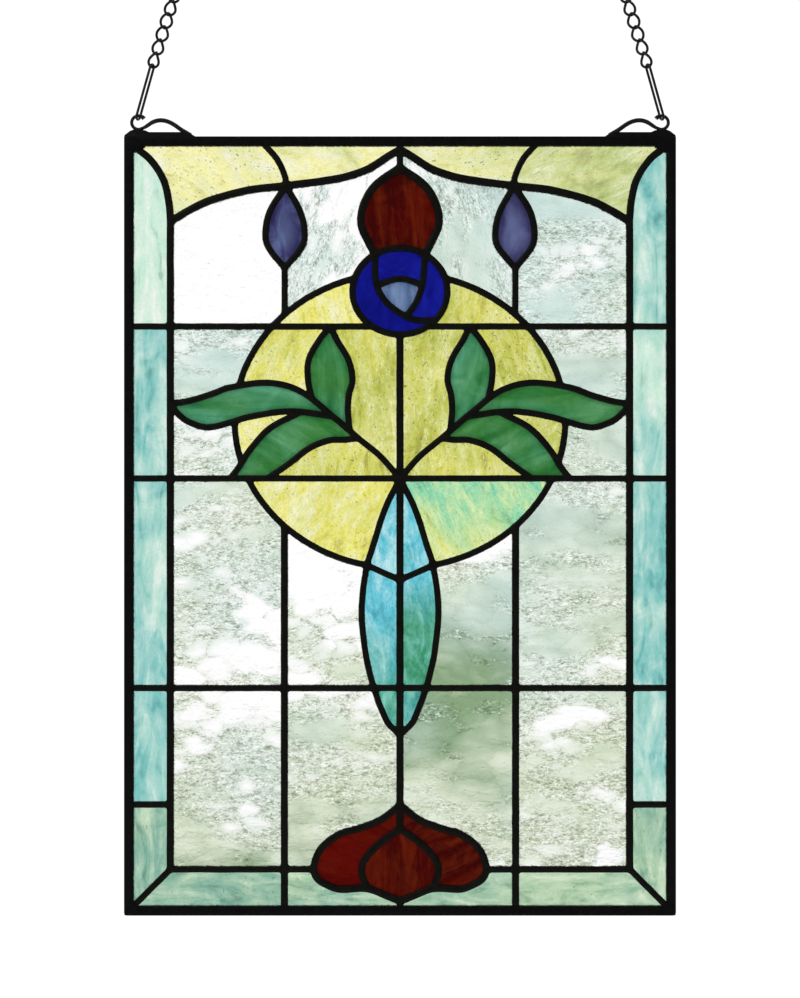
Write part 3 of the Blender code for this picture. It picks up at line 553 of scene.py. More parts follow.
def inset(sides, margin):
    """A cell drawn in from each side by that side's margin, as its lines and their points."""
    sides = [(line, thinned(points, SIDE_TOLERANCE)) for line, points in sides]
    while True:
        moved = [shifted(points, margin(line)) for line, points in sides]
        count = len(sides)
        joints = [meeting(moved[i - 1], moved[i], sides[i][1][0]) for i in range(count)]
        drawn_in = []
        swallowed = None
        for i in range(count):
            begin, end = joints[i], joints[(i + 1) % count]
            if begin is None:
                first, first_step = moved[i][1], 1
            else:
                first, first_step = begin[1], begin[3]
            if end is None:
                last, last_step = moved[i][-2], len(moved[i]) - 3
            else:
                last, last_step = end[1], end[2]
            along = moved[i][first_step + 1] - moved[i][first_step]
            backwards = first_step == last_step and (last - first).dot(along) < 0
            if first_step > last_step or backwards:
                swallowed = i
                break
            between = moved[i][first_step + 1 : last_step + 1]
            drawn_in.append((sides[i][0], [first, *between, last]))
        if swallowed is None:
            return drawn_in
        del sides[swallowed]


def outline(sides):
    """One closed outline from a cell's sides, without points that fall together."""
    loop = []
    for _, points in sides:
        for point in points:
            if not loop or (point - loop[-1]).length > SHORTEST_EDGE:
                loop.append(point)
    if (loop[0] - loop[-1]).length <= SHORTEST_EDGE:
        loop.pop()
    return loop


def frame_side(sides):
    """Where a cell's side along the frame is in its list of sides, or None."""
    for i, (line, _) in enumerate(sides):
        if line.name.startswith("frame_"):
            return i
    return None


def lattice_loops(lines, margin):
    """Outlines of the leading: its outer edge, open to the frame, and a hole for each other cell."""
    order = [line.name for line in frame_lines()]
    corners = opening_corners(margin(frame_lines()[0]))
    holes, notches = [], []
    for cell in cells(lines):
        sides = inset(cell, margin)
        index = frame_side(sides)
        if index is None:
            holes.append(outline(sides))
            continue
        line, edge = sides[index]
        rank = order.index(line.name)
        along = (line.points[-1] - line.points[0]).dot(edge[0])
        path = outline(sides[index + 1 :] + sides[:index])
        notches.append((rank, along, list(reversed(path))))
    notches.sort(key=lambda notch: notch[:2])
    rim = []
    for i, (rank, _, path) in enumerate(notches):
        rim += path
        if notches[(i + 1) % len(notches)][0] != rank:
            rim.append(corners[(rank + 1) % 4])
    return [rim] + holes


def inside(point, loop):
    """Whether a point is inside a closed outline."""
    odd = False
    for a, b in zip(loop, loop[1:] + loop[:1]):
        if (a.y > point.y) != (b.y > point.y):
            if point.x < a.x + (point.y - a.y) * (b.x - a.x) / (b.y - a.y):
                odd = not odd
    return odd


class Glass(NamedTuple):
    """A kind of streaky glass. Width and length are how many streaks lie in a metre, each way.

    Seeds is how strongly the rolled grain shows, specks are ochre dashes, and wisps pale threads.
    Painted lead shade is how much the colour is darkened towards the lead, painted shade where the
    lead blocks the light from behind. Painted glow is a paler colour painted in its middle, where the
    light comes through.
    """

    name: str
    slot: str
    see_through: float
    roughness: float
    length: float
    swirl: float
    seeds: float = 0.05
    width: float = 60.0
    specks: float = 0.0
    painted_lead_shade: float = 0.0
    painted_glow: float = 0.0
    wisps: float = 0.0


STREAKY_GLASSES = {
    "border": Glass("aqua_glass", "glass_aqua", 0.95, 0.3, 16.0, 1.6, 0.1),
    "base": Glass("sea_green_glass", "glass_aqua", 0.95, 0.3, 18.0, 1.8, 0.12, specks=0.2),
    "band": Glass(
        "pale_yellow_glass", "glass_band", 0.95, 0.2, 18.0, 2.0, 0.1, 50.0, specks=0.5, wisps=0.5
    ),
    "disc": Glass("yellow_glass", "glass_yellow", 0.95, 0.2, 16.0, 1.8, 0.16, specks=0.35, wisps=0.9),
    "glade": Glass(
        "green_yellow_glass", "glass_yellow", 0.95, 0.2, 16.0, 2.0, 0.14, specks=0.35, wisps=0.6
    ),
    "leaf": Glass("green_glass", "glass_green", 0.9, 0.55, 10.0, 0.8, painted_lead_shade=0.4, painted_glow=0.15),
    "purple": Glass("purple_glass", "glass_purple", 0.9, 0.55, 22.0, 0.8, painted_lead_shade=0.35, painted_glow=0.3),
    "red": Glass("dark_red_glass", "glass_red", 0.95, 0.5, 14.0, 0.9, width=90.0, painted_lead_shade=0.2),
    "blue": Glass("cobalt_glass", "glass_blue", 0.95, 0.4, 20.0, 1.2, painted_lead_shade=0.1),
    "pale_blue": Glass("pale_blue_glass", "glass_pale_blue", 0.9, 0.5, 20.0, 1.2, painted_lead_shade=0.3, painted_glow=0.3),
    "pod": Glass("turquoise_glass", "glass_turquoise", 0.95, 0.22, 16.0, 1.6, 0.2),
}
GLASS_SLOTS = {kind: glass.slot for kind, glass in STREAKY_GLASSES.items()}
GLASS_SLOTS["clear"] = "glass_clear"

# The panes of the left half: CAD node, a point of the drawing inside, glass, the turn of its streaks
# in degrees, and how far its colour goes from its first shade to its second on the left and right.
# A pair gives the top and the bottom of a pane.
HALF_PANES = [
    ("band_outer", (-150, 585), "band", 65, 0.05, 0.85),
    ("band_inner", (-50, 590), "band", 80, 0.2, 0.5),
    ("clear_top_outer", (-140, 510), "clear", 0, (-1.0, -0.3), 0.8),
    ("clear_top_inner", (-60, 520), "clear", 70, 0.1, 0.65),
    ("clear_side_upper", (-160, 440), "clear", 0, 0.75, 0.75),
    ("clear_side_lower", (-155, 360), "clear", 10, 0.55, 0.85),
    ("clear_low_outer", (-140, 250), "clear", 0, (0.85, 0.05), (0.95, 0.75)),
    ("clear_low_outer", (-140, 100), "clear", 0, (-0.2, 1.3), (0.5, 0.8)),
    ("clear_low_inner", (-60, 200), "clear", 10, (0.1, 0.5), (0.1, 2.2)),
    ("clear_low_inner", (-60, 130), "clear", 0, (0.15, 1.1), (1.8, 0.5)),
    ("disc_crown", (-60, 472), "disc", 10, -0.2, 0.5),
    ("disc_outer", (-95, 438), "disc", -20, 0.2, 0.95),
    ("disc_inner", (-20, 420), "disc", 5, 0.75, 0.85),
    ("disc_gap", (-116, 379), "disc", 30, 0.1, 0.8),
    ("disc_under", (-40, 357), "disc", 0, 0.35, 0.7),
    ("disc_foot", (-60, 315), "disc", -25, 0.15, (1.3, 0.0)),
    ("leaf_long", (-120, 403), "leaf", 88, 0.7, 0.15),
    ("leaf_upright", (-55, 430), "leaf", 4, 0.2, 0.6),
    ("leaf_low", (-75, 379), "leaf", 62, 0.1, 0.1),
    ("bud_purple", (-90, 535), "purple", 0, 0.3, 1.2),
    ("pod", (-12, 300), "pod", 0, -0.2, -0.2),
    ("pod", (-12, 230), "pod", 0, (-0.1, 0.5), (-0.2, 1.5)),
    ("pod", (-12, 165), "pod", 0, 0.8, 0.6),
    ("tulip", (-48, 43), "red", 65, 0.0, 1.0),
    ("border", (-194, 520), "border", 0, 0.95, 0.35),
    ("border", (-194, 400), "border", 0, 0.15, 0.55),
    ("border", (-194, 250), "border", 0, 0.1, -0.05),
    ("border", (-194, 130), "border", 0, -0.05, 0.4),
    ("border", (-194, 70), "base", 0, 0.1, 0.5),
]
MIDDLE_PANES = [
    ("border_bottom", (-140, 20), "base", 90, 0.2),
    ("border_bottom", (-45, 14), "base", 90, 0.5),
    ("border_bottom", (45, 14), "base", 90, 0.5),
    ("border_bottom", (140, 20), "base", 90, 0.95),
    ("bud_red", (0, 550), "red", 8, 0.8),
    ("petal_left", (-28, 485), "blue", 0, 0.3),
    ("petal_top", (0, 508), "blue", 90, 0.7),
    ("petal_right", (27, 485), "blue", 0, 0.4),
    ("flower_centre", (0, 487), "pale_blue", 0, 0.5),
    ("tulip_centre", (0, 40), "red", 0, 0.8),
]
# Panes cut from another glass than their mirror image
ODD_PANES = {"disc_foot_right": "glade"}


def pane_places():
    """Every pane's node, a point inside it, its glass, the turn of its streaks and its tone."""
    places = list(MIDDLE_PANES)
    for name, (x, z), glass, turn, left, right in HALF_PANES:
        places.append((name + "_left", (x, z), glass, turn, left))
        places.append((name + "_right", (-x, z), glass, -turn, right))
    return places


def settings():
    return bpy.context.scene.leaded_panel


def colour(red, green, blue):
    """A colour as the eye reads it, from 0 to 255, in the renderer's linear light."""

    def linear(value):
        value /= 255
        return value / 12.92 if value <= 0.04045 else ((value + 0.055) / 1.055) ** 2.4

    return (linear(red), linear(green), linear(blue), 1.0)


def grey(value):
    return (value, value, value, 1.0)


def new_material(name):
    material = bpy.data.materials.new(name)
    material.use_nodes = True
    nodes = material.node_tree.nodes
    nodes.clear()
    shader = nodes.new("ShaderNodeBsdfPrincipled")
    output = nodes.new("ShaderNodeOutputMaterial")
    material.node_tree.links.new(shader.outputs[0], output.inputs[0])
    return material, shader


def feed(material, socket, value):
    """Links a socket to another one, or sets it to a value."""
    if isinstance(value, bpy.types.NodeSocket):
        material.node_tree.links.new(value, socket)
    else:
        socket.default_value = value


def add_node(material, kind, settings=None, **inputs):
    """A node with its settings, and with its inputs set to values or linked to sockets."""
    node = material.node_tree.nodes.new(kind)
    for key, value in (settings or {}).items():
        setattr(node, key, value)
    for key, value in inputs.items():
        feed(material, node.inputs[key.replace("_", " ")], value)
    return node


def ramp(material, factor, stops):
    """A colour ramp of (place, colour) stops over a factor."""
    node = add_node(material, "ShaderNodeValToRGB", Fac=factor)
    elements = node.color_ramp.elements
    while len(elements) < len(stops):
        elements.new(0.5)
    for element, (place, value) in zip(elements, stops):
        element.position = place
        element.color = value
    return node.outputs["Color"]


def mixed(material, factor, one, two, blend="MIX"):
    node = add_node(material, "ShaderNodeMix", {"data_type": "RGBA", "blend_type": blend})
    for index, value in ((0, factor), (6, one), (7, two)):
        feed(material, node.inputs[index], value)
    return node.outputs[2]


def maths(material, operation, one, two=0.0):
    node = add_node(material, "ShaderNodeMath", {"operation": operation})
    for index, value in enumerate((one, two)):
        feed(material, node.inputs[index], value)
    return node.outputs[0]


def clamped(socket):
    socket.node.use_clamp = True
    return socket


def place_in(material):
    return add_node(material, "ShaderNodeTexCoord").outputs["Object"]


def dress(material, shader, **inputs):
    """Sets or links the shader's inputs."""
    for key, value in inputs.items():
        feed(material, shader.inputs[key.replace("_", " ")], value)


def on_sheet(material, scale):
    """Places on the sheet of glass that a pane was cut from, scaled across and along its streaks."""
    sheet = add_node(material, "ShaderNodeAttribute", {"attribute_name": "sheet"}).outputs["Vector"]
    return add_node(material, "ShaderNodeMapping", Vector=sheet, Scale=scale).outputs[0]


def clouds(material, scale, detail=2.0, distortion=0.0, roughness=0.5):
    noise_node = add_node(
        material, "ShaderNodeTexNoise", Vector=on_sheet(material, scale), Scale=1.0, Detail=detail,
        Roughness=roughness, Distortion=distortion,
    )
    return noise_node.outputs["Fac"]


def pane_value(material, name):
    return add_node(material, "ShaderNodeAttribute", {"attribute_name": name}).outputs["Fac"]


def sum_of(material, *parts):
    """The sum of sockets, each times its share."""
    total = None
    for socket, share in parts:
        part = maths(material, "MULTIPLY", socket, share)
        total = part if total is None else maths(material, "ADD", total, part)
    return total


def finish_glass(material, shader, painted, height, depth, see_through, roughness):
    bump = add_node(material, "ShaderNodeBump", Height=height, Distance=depth, Strength=1.0)
    dress(material, shader, Base_Color=painted, Normal=bump.outputs[0], Transmission_Weight=see_through,
          Roughness=roughness, IOR=CLEAR_INDEX, Specular_IOR_Level=0.3)


def streaky_glass(glass, first, second):
    """Glass with streaks of colour. A pane's tone leads from one ramp of shades to the other."""
    material, shader = new_material(glass.name)
    width, length = glass.width, glass.length
    streaks = clouds(material, (width, width, length), 5.0, glass.swirl, 0.62)
    blots = clouds(material, (width * 0.9, width * 0.9, width * 0.7), 4.0, 1.5, 0.6)
    grain = clouds(material, (650.0, 650.0, 380.0), 2.0, 0.4, 0.7)
    patches = clouds(material, (24.0, 24.0, 15.0), 2.0, 0.8)
    mix = sum_of(material, (streaks, 0.66), (blots, 0.34))
    lean = sum_of(material, (patches, 2.0), (streaks, 0.6), (pane_value(material, "tone"), 1.0))
    lean = clamped(maths(material, "SUBTRACT", lean, 1.3))
    painted = mixed(material, lean, ramp(material, mix, first), ramp(material, mix, second))
    grains = ramp(material, grain, [(0.34, grey(1 - glass.seeds)), (0.56, WHITE)])
    painted = mixed(material, 1.0, painted, grains, "MULTIPLY")
    if glass.specks:
        dashes = clouds(material, (150.0, 150.0, 60.0), 3.0, 0.5, 0.7)
        where = ramp(material, dashes, [(0.62, BLACK), (0.72, grey(glass.specks))])
        painted = mixed(material, where, painted, colour(150, 132, 50))
        dots = clouds(material, (520.0, 520.0, 520.0), 0.0)
        where = ramp(material, dots, [(0.755, BLACK), (0.80, grey(0.6))])
        painted = mixed(material, where, painted, colour(96, 104, 60))
    if glass.wisps:
        bends = clouds(material, (width * 1.4, width * 1.4, length * 1.6), 1.0, 2.6)
        line = maths(material, "ABSOLUTE", maths(material, "SUBTRACT", bends, 0.5))
        line = clamped(maths(material, "SUBTRACT", 1.0, maths(material, "MULTIPLY", line, 60.0)))
        line = maths(material, "MULTIPLY", line, maths(material, "MULTIPLY", grain, glass.wisps))
        painted = mixed(material, line, painted, colour(255, 255, 226))
    # Painted shade: the colour is darkened towards the lead, where the lead blocks the light from
    # behind.
    if glass.painted_lead_shade:
        middle = pane_value(material, "middle")
        middle = ramp(material, middle, [(0.0, grey(1 - glass.painted_lead_shade)), (0.35, WHITE)])
        painted = mixed(material, 1.0, painted, middle, "MULTIPLY")
    # Painted glow: the first ramp's palest colour is mixed in towards the pane's middle, where light
    # comes through.
    if glass.painted_glow:
        painted_glow_share = ramp(material, pane_value(material, "middle"), [(0.3, BLACK), (1.0, grey(glass.painted_glow))])
        painted = mixed(material, painted_glow_share, painted, first[-1][1])
    height = sum_of(material, (grain, 0.25), (streaks, 0.3), (patches, 0.5))
    finish_glass(material, shader, painted, height, STREAK_DEPTH, glass.see_through, glass.roughness)
    if glass.roughness > OPAL_ROUGHNESS:
        dress(material, shader, Specular_Tint=grey(0.15), IOR=OPAL_INDEX)
    return material


def tinted(tint, deepest):
    """Stops from white glass to a tint, and on to its deepest shade."""
    light = tuple(1 + (part - 1) * 0.7 for part in tint) + (1.0,)
    return [(0.05, WHITE), (0.2, light), (0.45, (*tint, 1.0)), (1.0, deepest)]


def hammered_glass(name):
    """Clear glass with a watery rolled face: scallops from white to a tint, ripples of painted
    refraction shade, and painted white glints.
    """
    material, shader = new_material(name)
    sheet = on_sheet(material, (44.0, 44.0, 80.0))
    wobble = add_node(material, "ShaderNodeTexNoise", Vector=sheet, Scale=1.0, Detail=1.0)
    bent = add_node(material, "ShaderNodeVectorMath", {"operation": "MULTIPLY_ADD"})
    bend = (wobble.outputs["Color"], (1.0, 1.0, 1.0), on_sheet(material, (42.0, 42.0, 78.0)))
    for socket, value in zip(bent.inputs, bend):
        feed(material, socket, value)
    scallops = add_node(material, "ShaderNodeTexVoronoi", Vector=bent.outputs[0], Scale=1.0)
    away, cell = scallops.outputs["Distance"], scallops.outputs["Color"]
    patches = clouds(material, (10.0, 10.0, 21.0), 2.0, 0.7)
    fields = clouds(material, (20.0, 20.0, 44.0), 2.0, 0.9)
    hues = clouds(material, (9.0, 9.0, 9.0), 1.0)
    grain = clouds(material, (270.0, 270.0, 680.0), 3.0, 1.2, 0.7)
    dents = clouds(material, (90.0, 90.0, 190.0), 3.0, 1.4, 0.6)
    tone = pane_value(material, "tone")

    def reached(total, start, gain):
        return clamped(maths(material, "MULTIPLY", maths(material, "SUBTRACT", total, start), gain))

    depth = sum_of(material, (patches, 1.2), (away, 0.3), (cell, 0.15), (tone, 0.5))
    depth = reached(depth, 0.88, 1.1)
    shore = maths(material, "ABSOLUTE", maths(material, "SUBTRACT", depth, 0.26))
    shore = reached(maths(material, "MULTIPLY", shore, -1.0), -0.34, 3.4)
    painted_ripple_share = sum_of(material, (shore, 0.6), (away, 0.9), (fields, 1.1), (cell, 0.2), (depth, 0.2))
    painted_ripple_share = reached(painted_ripple_share, 1.43, 3.6)
    painted_ripple_share = maths(material, "MULTIPLY", painted_ripple_share, reached(depth, -0.02, 6.0))
    grains = reached(sum_of(material, (grain, 0.75), (dents, 0.25)), 0.34, 3.4)
    height_up = add_node(material, "ShaderNodeSeparateXYZ", Vector=place_in(material)).outputs["Z"]
    hue = reached(sum_of(material, (height_up, -2.6), (hues, 2.4)), 1.85, 1.0)
    kit = settings()
    upper = ramp(material, depth, tinted(kit.clear_upper, colour(168, 192, 188)))
    lower = ramp(material, depth, tinted(kit.clear_lower, colour(136, 166, 126)))
    painted = mixed(material, hue, upper, lower)
    # Painted refraction shade: darker ripple lines where the rolled face bends the light.
    stops = [(0.1, colour(134, 132, 118)), (0.38, colour(206, 208, 196)), (0.6, WHITE)]
    painted_ripple_shade = ramp(material, grains, stops)
    share = sum_of(material, (painted_ripple_share, 0.85), (depth, 0.15))
    painted = mixed(material, share, painted, painted_ripple_shade, "MULTIPLY")
    # Painted highlights: white glints on the rippled fields.
    painted_glints = reached(grains, 0.68, 4.0)
    painted_glints = maths(material, "MULTIPLY", painted_glints, maths(material, "MULTIPLY", painted_ripple_share, 0.85))
    painted = mixed(material, painted_glints, painted, WHITE)
    height = sum_of(material, (grain, 0.3), (away, 0.7), (dents, 0.5))
    finish_glass(material, shader, painted, height, RIPPLE_DEPTH, 1.0, 0.05)
    return material


def dark_metal(name, dark, worn, roughness, shine, grain=220.0, bumps=0.25):
    """Blackened metal: mottled patina that is a little paler where it has been rubbed."""
    material, shader = new_material(name)
    place = place_in(material)
    mottle = add_node(
        material, "ShaderNodeTexNoise", Vector=place, Scale=grain, Detail=4.0, Roughness=0.6
    ).outputs["Fac"]
    pits = add_node(material, "ShaderNodeTexNoise", Vector=place, Scale=grain * 6, Detail=2.0)
    painted = ramp(material, mottle, [(0.35, dark), (0.8, worn)])
    rough = add_node(
        material, "ShaderNodeMapRange", Value=mottle, To_Min=roughness - 0.1, To_Max=roughness + 0.12
    )
    height = maths(material, "MULTIPLY_ADD", pits.outputs["Fac"], 0.4)
    feed(material, height.node.inputs[2], mottle)
    bump = add_node(material, "ShaderNodeBump", Height=height, Distance=PIT_DEPTH, Strength=bumps)
    dress(material, shader, Base_Color=painted, Roughness=rough.outputs[0], Normal=bump.outputs[0],
          Metallic=0.2, Specular_IOR_Level=shine)
    return material


def shades(body, pale, last=0.66, depth=0.66):
    """Stops of a ramp from a glass's deeper streaks, through its own colour, to its pale streaks."""
    body = tuple(body)[:3]
    deep = tuple(part * depth for part in body)
    between = tuple(part + (light - part) * 0.4 for part, light in zip(body, pale))
    return [(0.36, (*deep, 1.0)), (0.45, (*body, 1.0)), (0.55, (*between, 1.0)), (last, pale)]


def glass_shades():
    """Both ramps of shades of each kind of streaky glass."""
    c, kit = colour, settings()
    sun = shades(kit.yellow, c(255, 255, 216))
    sky = shades(kit.pale_blue, c(140, 162, 198))
    lime = shades(kit.pale_yellow, c(255, 255, 236), depth=0.82)
    wine = shades(kit.red, c(104, 14, 2), 0.7)
    rust = shades(c(62, 3, 1), c(112, 36, 8), 0.7)
    return {
        "border": (shades(kit.aqua, c(206, 240, 230)), shades(c(206, 244, 222), c(250, 255, 246))),
        "base": (shades(kit.sea_green, c(202, 230, 202)), shades(c(180, 214, 176), c(236, 250, 222))),
        "band": (lime, shades(c(190, 206, 126), c(244, 250, 208))),
        "disc": (sun, shades(c(192, 198, 80), c(240, 245, 168))),
        "glade": (sun, shades(c(136, 222, 178), c(226, 246, 176))),
        "leaf": (shades(kit.green, c(106, 164, 104)), shades(c(56, 138, 96), c(104, 180, 150))),
        "purple": (shades(kit.purple, c(134, 154, 198)), shades(c(60, 58, 102), c(92, 96, 142))),
        "red": (wine, rust),
        "blue": (shades(kit.cobalt, c(20, 26, 146)), shades(c(16, 20, 134), c(26, 36, 160))),
        "pale_blue": (sky, sky),
        "pod": (shades(kit.turquoise, c(214, 250, 252)), shades(c(52, 150, 104), c(136, 220, 206))),
    }


def build_glasses():
    """One material for each kind of glass, by the names that the panes use."""
    ramps = glass_shades()
    finishes = {"clear": hammered_glass("hammered_clear_glass")}
    for kind, glass in STREAKY_GLASSES.items():
        finishes[kind] = streaky_glass(glass, *ramps[kind])
    return finishes


def to_world(point, depth):
    return (point.x, depth, point.y + PANEL_BOTTOM)


def add_object(name, data):
    obj = bpy.data.objects.new(name, data)
    bpy.context.scene.collection.objects.link(obj)
    return obj


def finish_mesh(name, body, finish, sharp=40):
    """An object from a bmesh, shaded smooth but for edges that turn by more than the sharp degrees."""
    bmesh.ops.recalc_face_normals(body, faces=body.faces)
    mesh = bpy.data.meshes.new(name)
    body.to_mesh(mesh)
    body.free()
    mesh.materials.append(finish)
    mesh.shade_smooth()
    mesh.set_sharp_from_angle(angle=math.radians(sharp))
    return add_object(name, mesh)


def thicken(body, depth):
    """Gives flat faces a thickness along Y."""
    copy = bmesh.ops.extrude_face_region(body, geom=body.faces[:], use_keep_orig=True)
    behind = [item for item in copy["geom"] if isinstance(item, bmesh.types.BMVert)]
    bmesh.ops.translate(body, verts=behind, vec=(0.0, depth, 0.0))


def round_over(body, edges, offset, segments):
    bmesh.ops.bevel(
        body, geom=edges, offset=offset, offset_type="OFFSET", segments=segments, profile=0.5,
        affect="EDGES", material=-1, clamp_overlap=True,
    )


def put_in_place(obj, nodes):
    """The piece hangs with the panel and stands for its CAD nodes, which are hidden."""
    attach(obj, "root")
    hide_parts(*nodes)


def relief(point, glass, side):
    """How far the rolled face of the glass stands proud at a point."""
    place = Vector((point.x, point.z, side)) * IN_MM
    waves = CLEAR_WAVES if glass == "clear" else COLOURED_WAVES
    height = sum(noise.noise(place / length) * share for length, share in waves)
    return height * settings().glass_relief


def cut_into_grid(body, step):
    """Cuts flat panes into small squares, so that their faces can take a relief."""
    for axis in (0, 2):
        ends = [v.co[axis] for v in body.verts]
        place = math.floor(min(ends) / step) * step + step
        while place < max(ends):
            geometry = body.verts[:] + body.edges[:] + body.faces[:]
            point, normal = Vector(), Vector()
            point[axis], normal[axis] = place, 1.0
            bmesh.ops.bisect_plane(body, geom=geometry, dist=WELD, plane_co=point, plane_no=normal)
            place += step


def search_tree(points):
    """Finds how far a place is from the nearest of some points."""
    tree = kdtree.KDTree(len(points))
    for i, p in enumerate(points):
        tree.insert((p.x, p.y, 0.0), i)
    tree.balance()
    return tree


def build_pane(name, node, loop, glass, turn, tone, finish):
    """One pane: a flat sheet cut to its outline, thickened, and rolled with a relief."""
    body = bmesh.new()
    body.faces.new([body.verts.new(to_world(p, -GLASS_THICKNESS / 2)) for p in loop])
    cut_into_grid(body, settings().relief_step * (1.0 if glass == "clear" else COLOURED_STEP))
    thicken(body, GLASS_THICKNESS)
    tone_layer = body.verts.layers.float.new("tone")
    middle_layer = body.verts.layers.float.new("middle")
    sheet_layer = body.verts.layers.float_vector.new("sheet")
    edges = search_tree(resampled(loop, OUTLINE_STEP))
    top_tone, bottom_tone = tone if isinstance(tone, tuple) else (tone, tone)
    heights = [p.y for p in loop]
    top, bottom = max(heights) + PANEL_BOTTOM, min(heights) + PANEL_BOTTOM
    spin = Matrix.Rotation(math.radians(turn), 3, "Y")
    shift = noise.random_unit_vector(size=3) * SHEET_SHIFT
    for vert in body.verts:
        side = -1 if vert.co.y < 0 else 1
        away = edges.find((vert.co.x, vert.co.z - PANEL_BOTTOM, 0.0))[2]
        down = (top - vert.co.z) / (top - bottom)
        vert[tone_layer] = top_tone + (bottom_tone - top_tone) * down
        # The pane's distance from the lead, which places the painted shade and the painted glow.
        vert[middle_layer] = min(away / PAINTED_SHADE_REACH, 1.0)
        vert[sheet_layer] = spin @ Vector((vert.co.x, 0.0, vert.co.z)) + shift
        vert.co.y += side * relief(vert.co, glass, side)
    put_in_place(finish_mesh(name, body, finish), [node])


def resampled(loop, step):
    """A closed outline with a point at least every step along it."""
    points = []
    for a, b in zip(loop, loop[1:] + loop[:1]):
        count = max(1, math.ceil((b - a).length / step))
        points += [a.lerp(b, i / count) for i in range(count)]
    return points


def turn_at(loop, i):
    """How sharply an outline turns at one of its points."""
    before, after = loop[i] - loop[i - 1], loop[(i + 1) % len(loop)] - loop[i]
    return abs(before.angle_signed(after))


def filleted(loop, reach):
    """An outline whose corners are run in with solder, up to a reach on both sides of each."""
    starts = [0.0]
    for i in range(len(loop)):
        starts.append(starts[-1] + (loop[(i + 1) % len(loop)] - loop[i]).length)
    total = starts[-1]
    corners = [i for i in range(len(loop)) if turn_at(loop, i) > FILLET_TURN]
    if len(corners) < 2:
        return loop

    def along(distance):
        distance %= total
        i = max(k for k in range(len(loop)) if starts[k] <= distance + 1e-9)
        a, b = loop[i], loop[(i + 1) % len(loop)]
        return a.lerp(b, min((distance - starts[i]) / max((b - a).length, 1e-9), 1.0))

    gaps = []
    for k, i in enumerate(corners):
        gap = starts[corners[(k + 1) % len(corners)]] - starts[i]
        gaps.append(gap if gap > 0 else gap + total)
    soft = []
    for k, i in enumerate(corners):
        before = min(reach, gaps[k - 1] * FILLET_SHARE)
        after = min(reach, gaps[k] * FILLET_SHARE)
        first, last = along(starts[i] - before), along(starts[i] + after)
        for share in (0.0, 0.25, 0.5, 0.75, 1.0):
            soft.append(first.lerp(loop[i], share).lerp(loop[i].lerp(last, share), share))
        begin = starts[i] + after
        end = starts[i] + gaps[k] - after
        for j in range(1, len(loop)):
            point = (i + j) % len(loop)
            place = starts[point] if starts[point] > starts[i] else starts[point] + total
            if begin + FILLET_CLEARANCE < place < end - FILLET_CLEARANCE:
                soft.append(loop[point])
    return soft


def uneven(point):
    """A point of a lead line's edge, moved a little as by hand."""
    shift = noise.noise_vector(Vector((point.x, point.y, 0.0)) * EDGE_WAVES) * EDGE_WOBBLE
    return point + Vector((shift.x, shift.y))


def filled(points, loops):
    """Triangles over the area between closed outlines, given as lists of indices of points."""
    pairs = [(loop[i - 1], loop[i]) for loop in loops for i in range(len(loop))]
    found = delaunay_2d_cdt(points, pairs, [], 0, JOIN_TOLERANCE / 10)
    walls = {frozenset(pair) for pair, origin in zip(found[1], found[4]) if origin}
    beside = {}
    for triangle in found[2]:
        for i in range(3):
            beside.setdefault(frozenset((triangle[i - 1], triangle[i])), []).append(tuple(triangle))
    solid = {}
    waiting = [(sides[0], edge in walls) for edge, sides in beside.items() if len(sides) == 1]
    while waiting:
        triangle, is_solid = waiting.pop()
        if triangle in solid:
            continue
        solid[triangle] = is_solid
        for i in range(3):
            edge = frozenset((triangle[i - 1], triangle[i]))
            for other in beside[edge]:
                if other not in solid:
                    waiting.append((other, is_solid != (edge in walls)))
    return [[found[3][i][0] for i in t] for t, is_solid in solid.items() if is_solid]


class Bead(NamedTuple):
    """The points of the leading's face: outlines first, then the points between them."""

    points: list
    loops: list
    triangles: list
    heights: list


def joined(loops):
    """All points of some outlines in one list, and each outline as indices in it."""
    points, indices = [], []
    for loop in loops:
        indices.append(list(range(len(points), len(points) + len(loop))))
        points += loop
    return points, indices


def near_frame(point):
    half = PANEL_WIDTH / 2 - FRAME_FACE - NEAR_FRAME
    low = FRAME_FACE + NEAR_FRAME
    return abs(point.x) > half or point.y < low or point.y > PANEL_HEIGHT - low


def inner_points(lines, loops, edges):
    """Points between a bead's edges: along the middle of each line, and in rows along each edge."""

    def reach(p):
        return edges.find((p.x, p.y, 0.0))[2]

    taken = set()

    def room(p, size):
        cell = (round(p.x / size), round(p.y / size), size)
        if cell in taken:
            return False
        taken.add(cell)
        return True

    found = []
    for line in lines:
        if line.face:
            for p in resampled(line.points, settings().bead_step)[:-1]:
                within = abs(p.x) < PANEL_WIDTH / 2 - FRAME_FACE and reach(p) > MIDDLE_ROW_REACH
                if within and room(p, MIDDLE_ROW_GAP):
                    found.append(p)
    for away, nearest in BEAD_ROWS:
        for loop in loops:
            for a, b in zip(loop, loop[1:] + loop[:1]):
                if (b - a).length < SHORTEST_STEP:
                    continue
                along = (b - a).normalized()
                for side in (-1, 1):
                    p = a.lerp(b, 0.5) + Vector((-along.y, along.x)) * away * side
                    if abs(reach(p) - away) < ROW_TOLERANCE and room(p, nearest):
                        found.append(p)
    return found


def bead_height(p, away, half):
    """How high the solder stands at a point: it swells away from its edges, and most at joints."""
    rise = math.sqrt(max(0.0, 1 - (1 - min(away / half, 1.0)) ** 2))
    joint = min(max((away - half) / half, 0.0), 1.0)
    wobble = noise.noise(Vector((p.x, p.y, 0.0)) * HEIGHT_WAVES) * HEIGHT_WOBBLE
    return rise * (1.0 + BEAD_JOINT_RISE * joint + wobble)


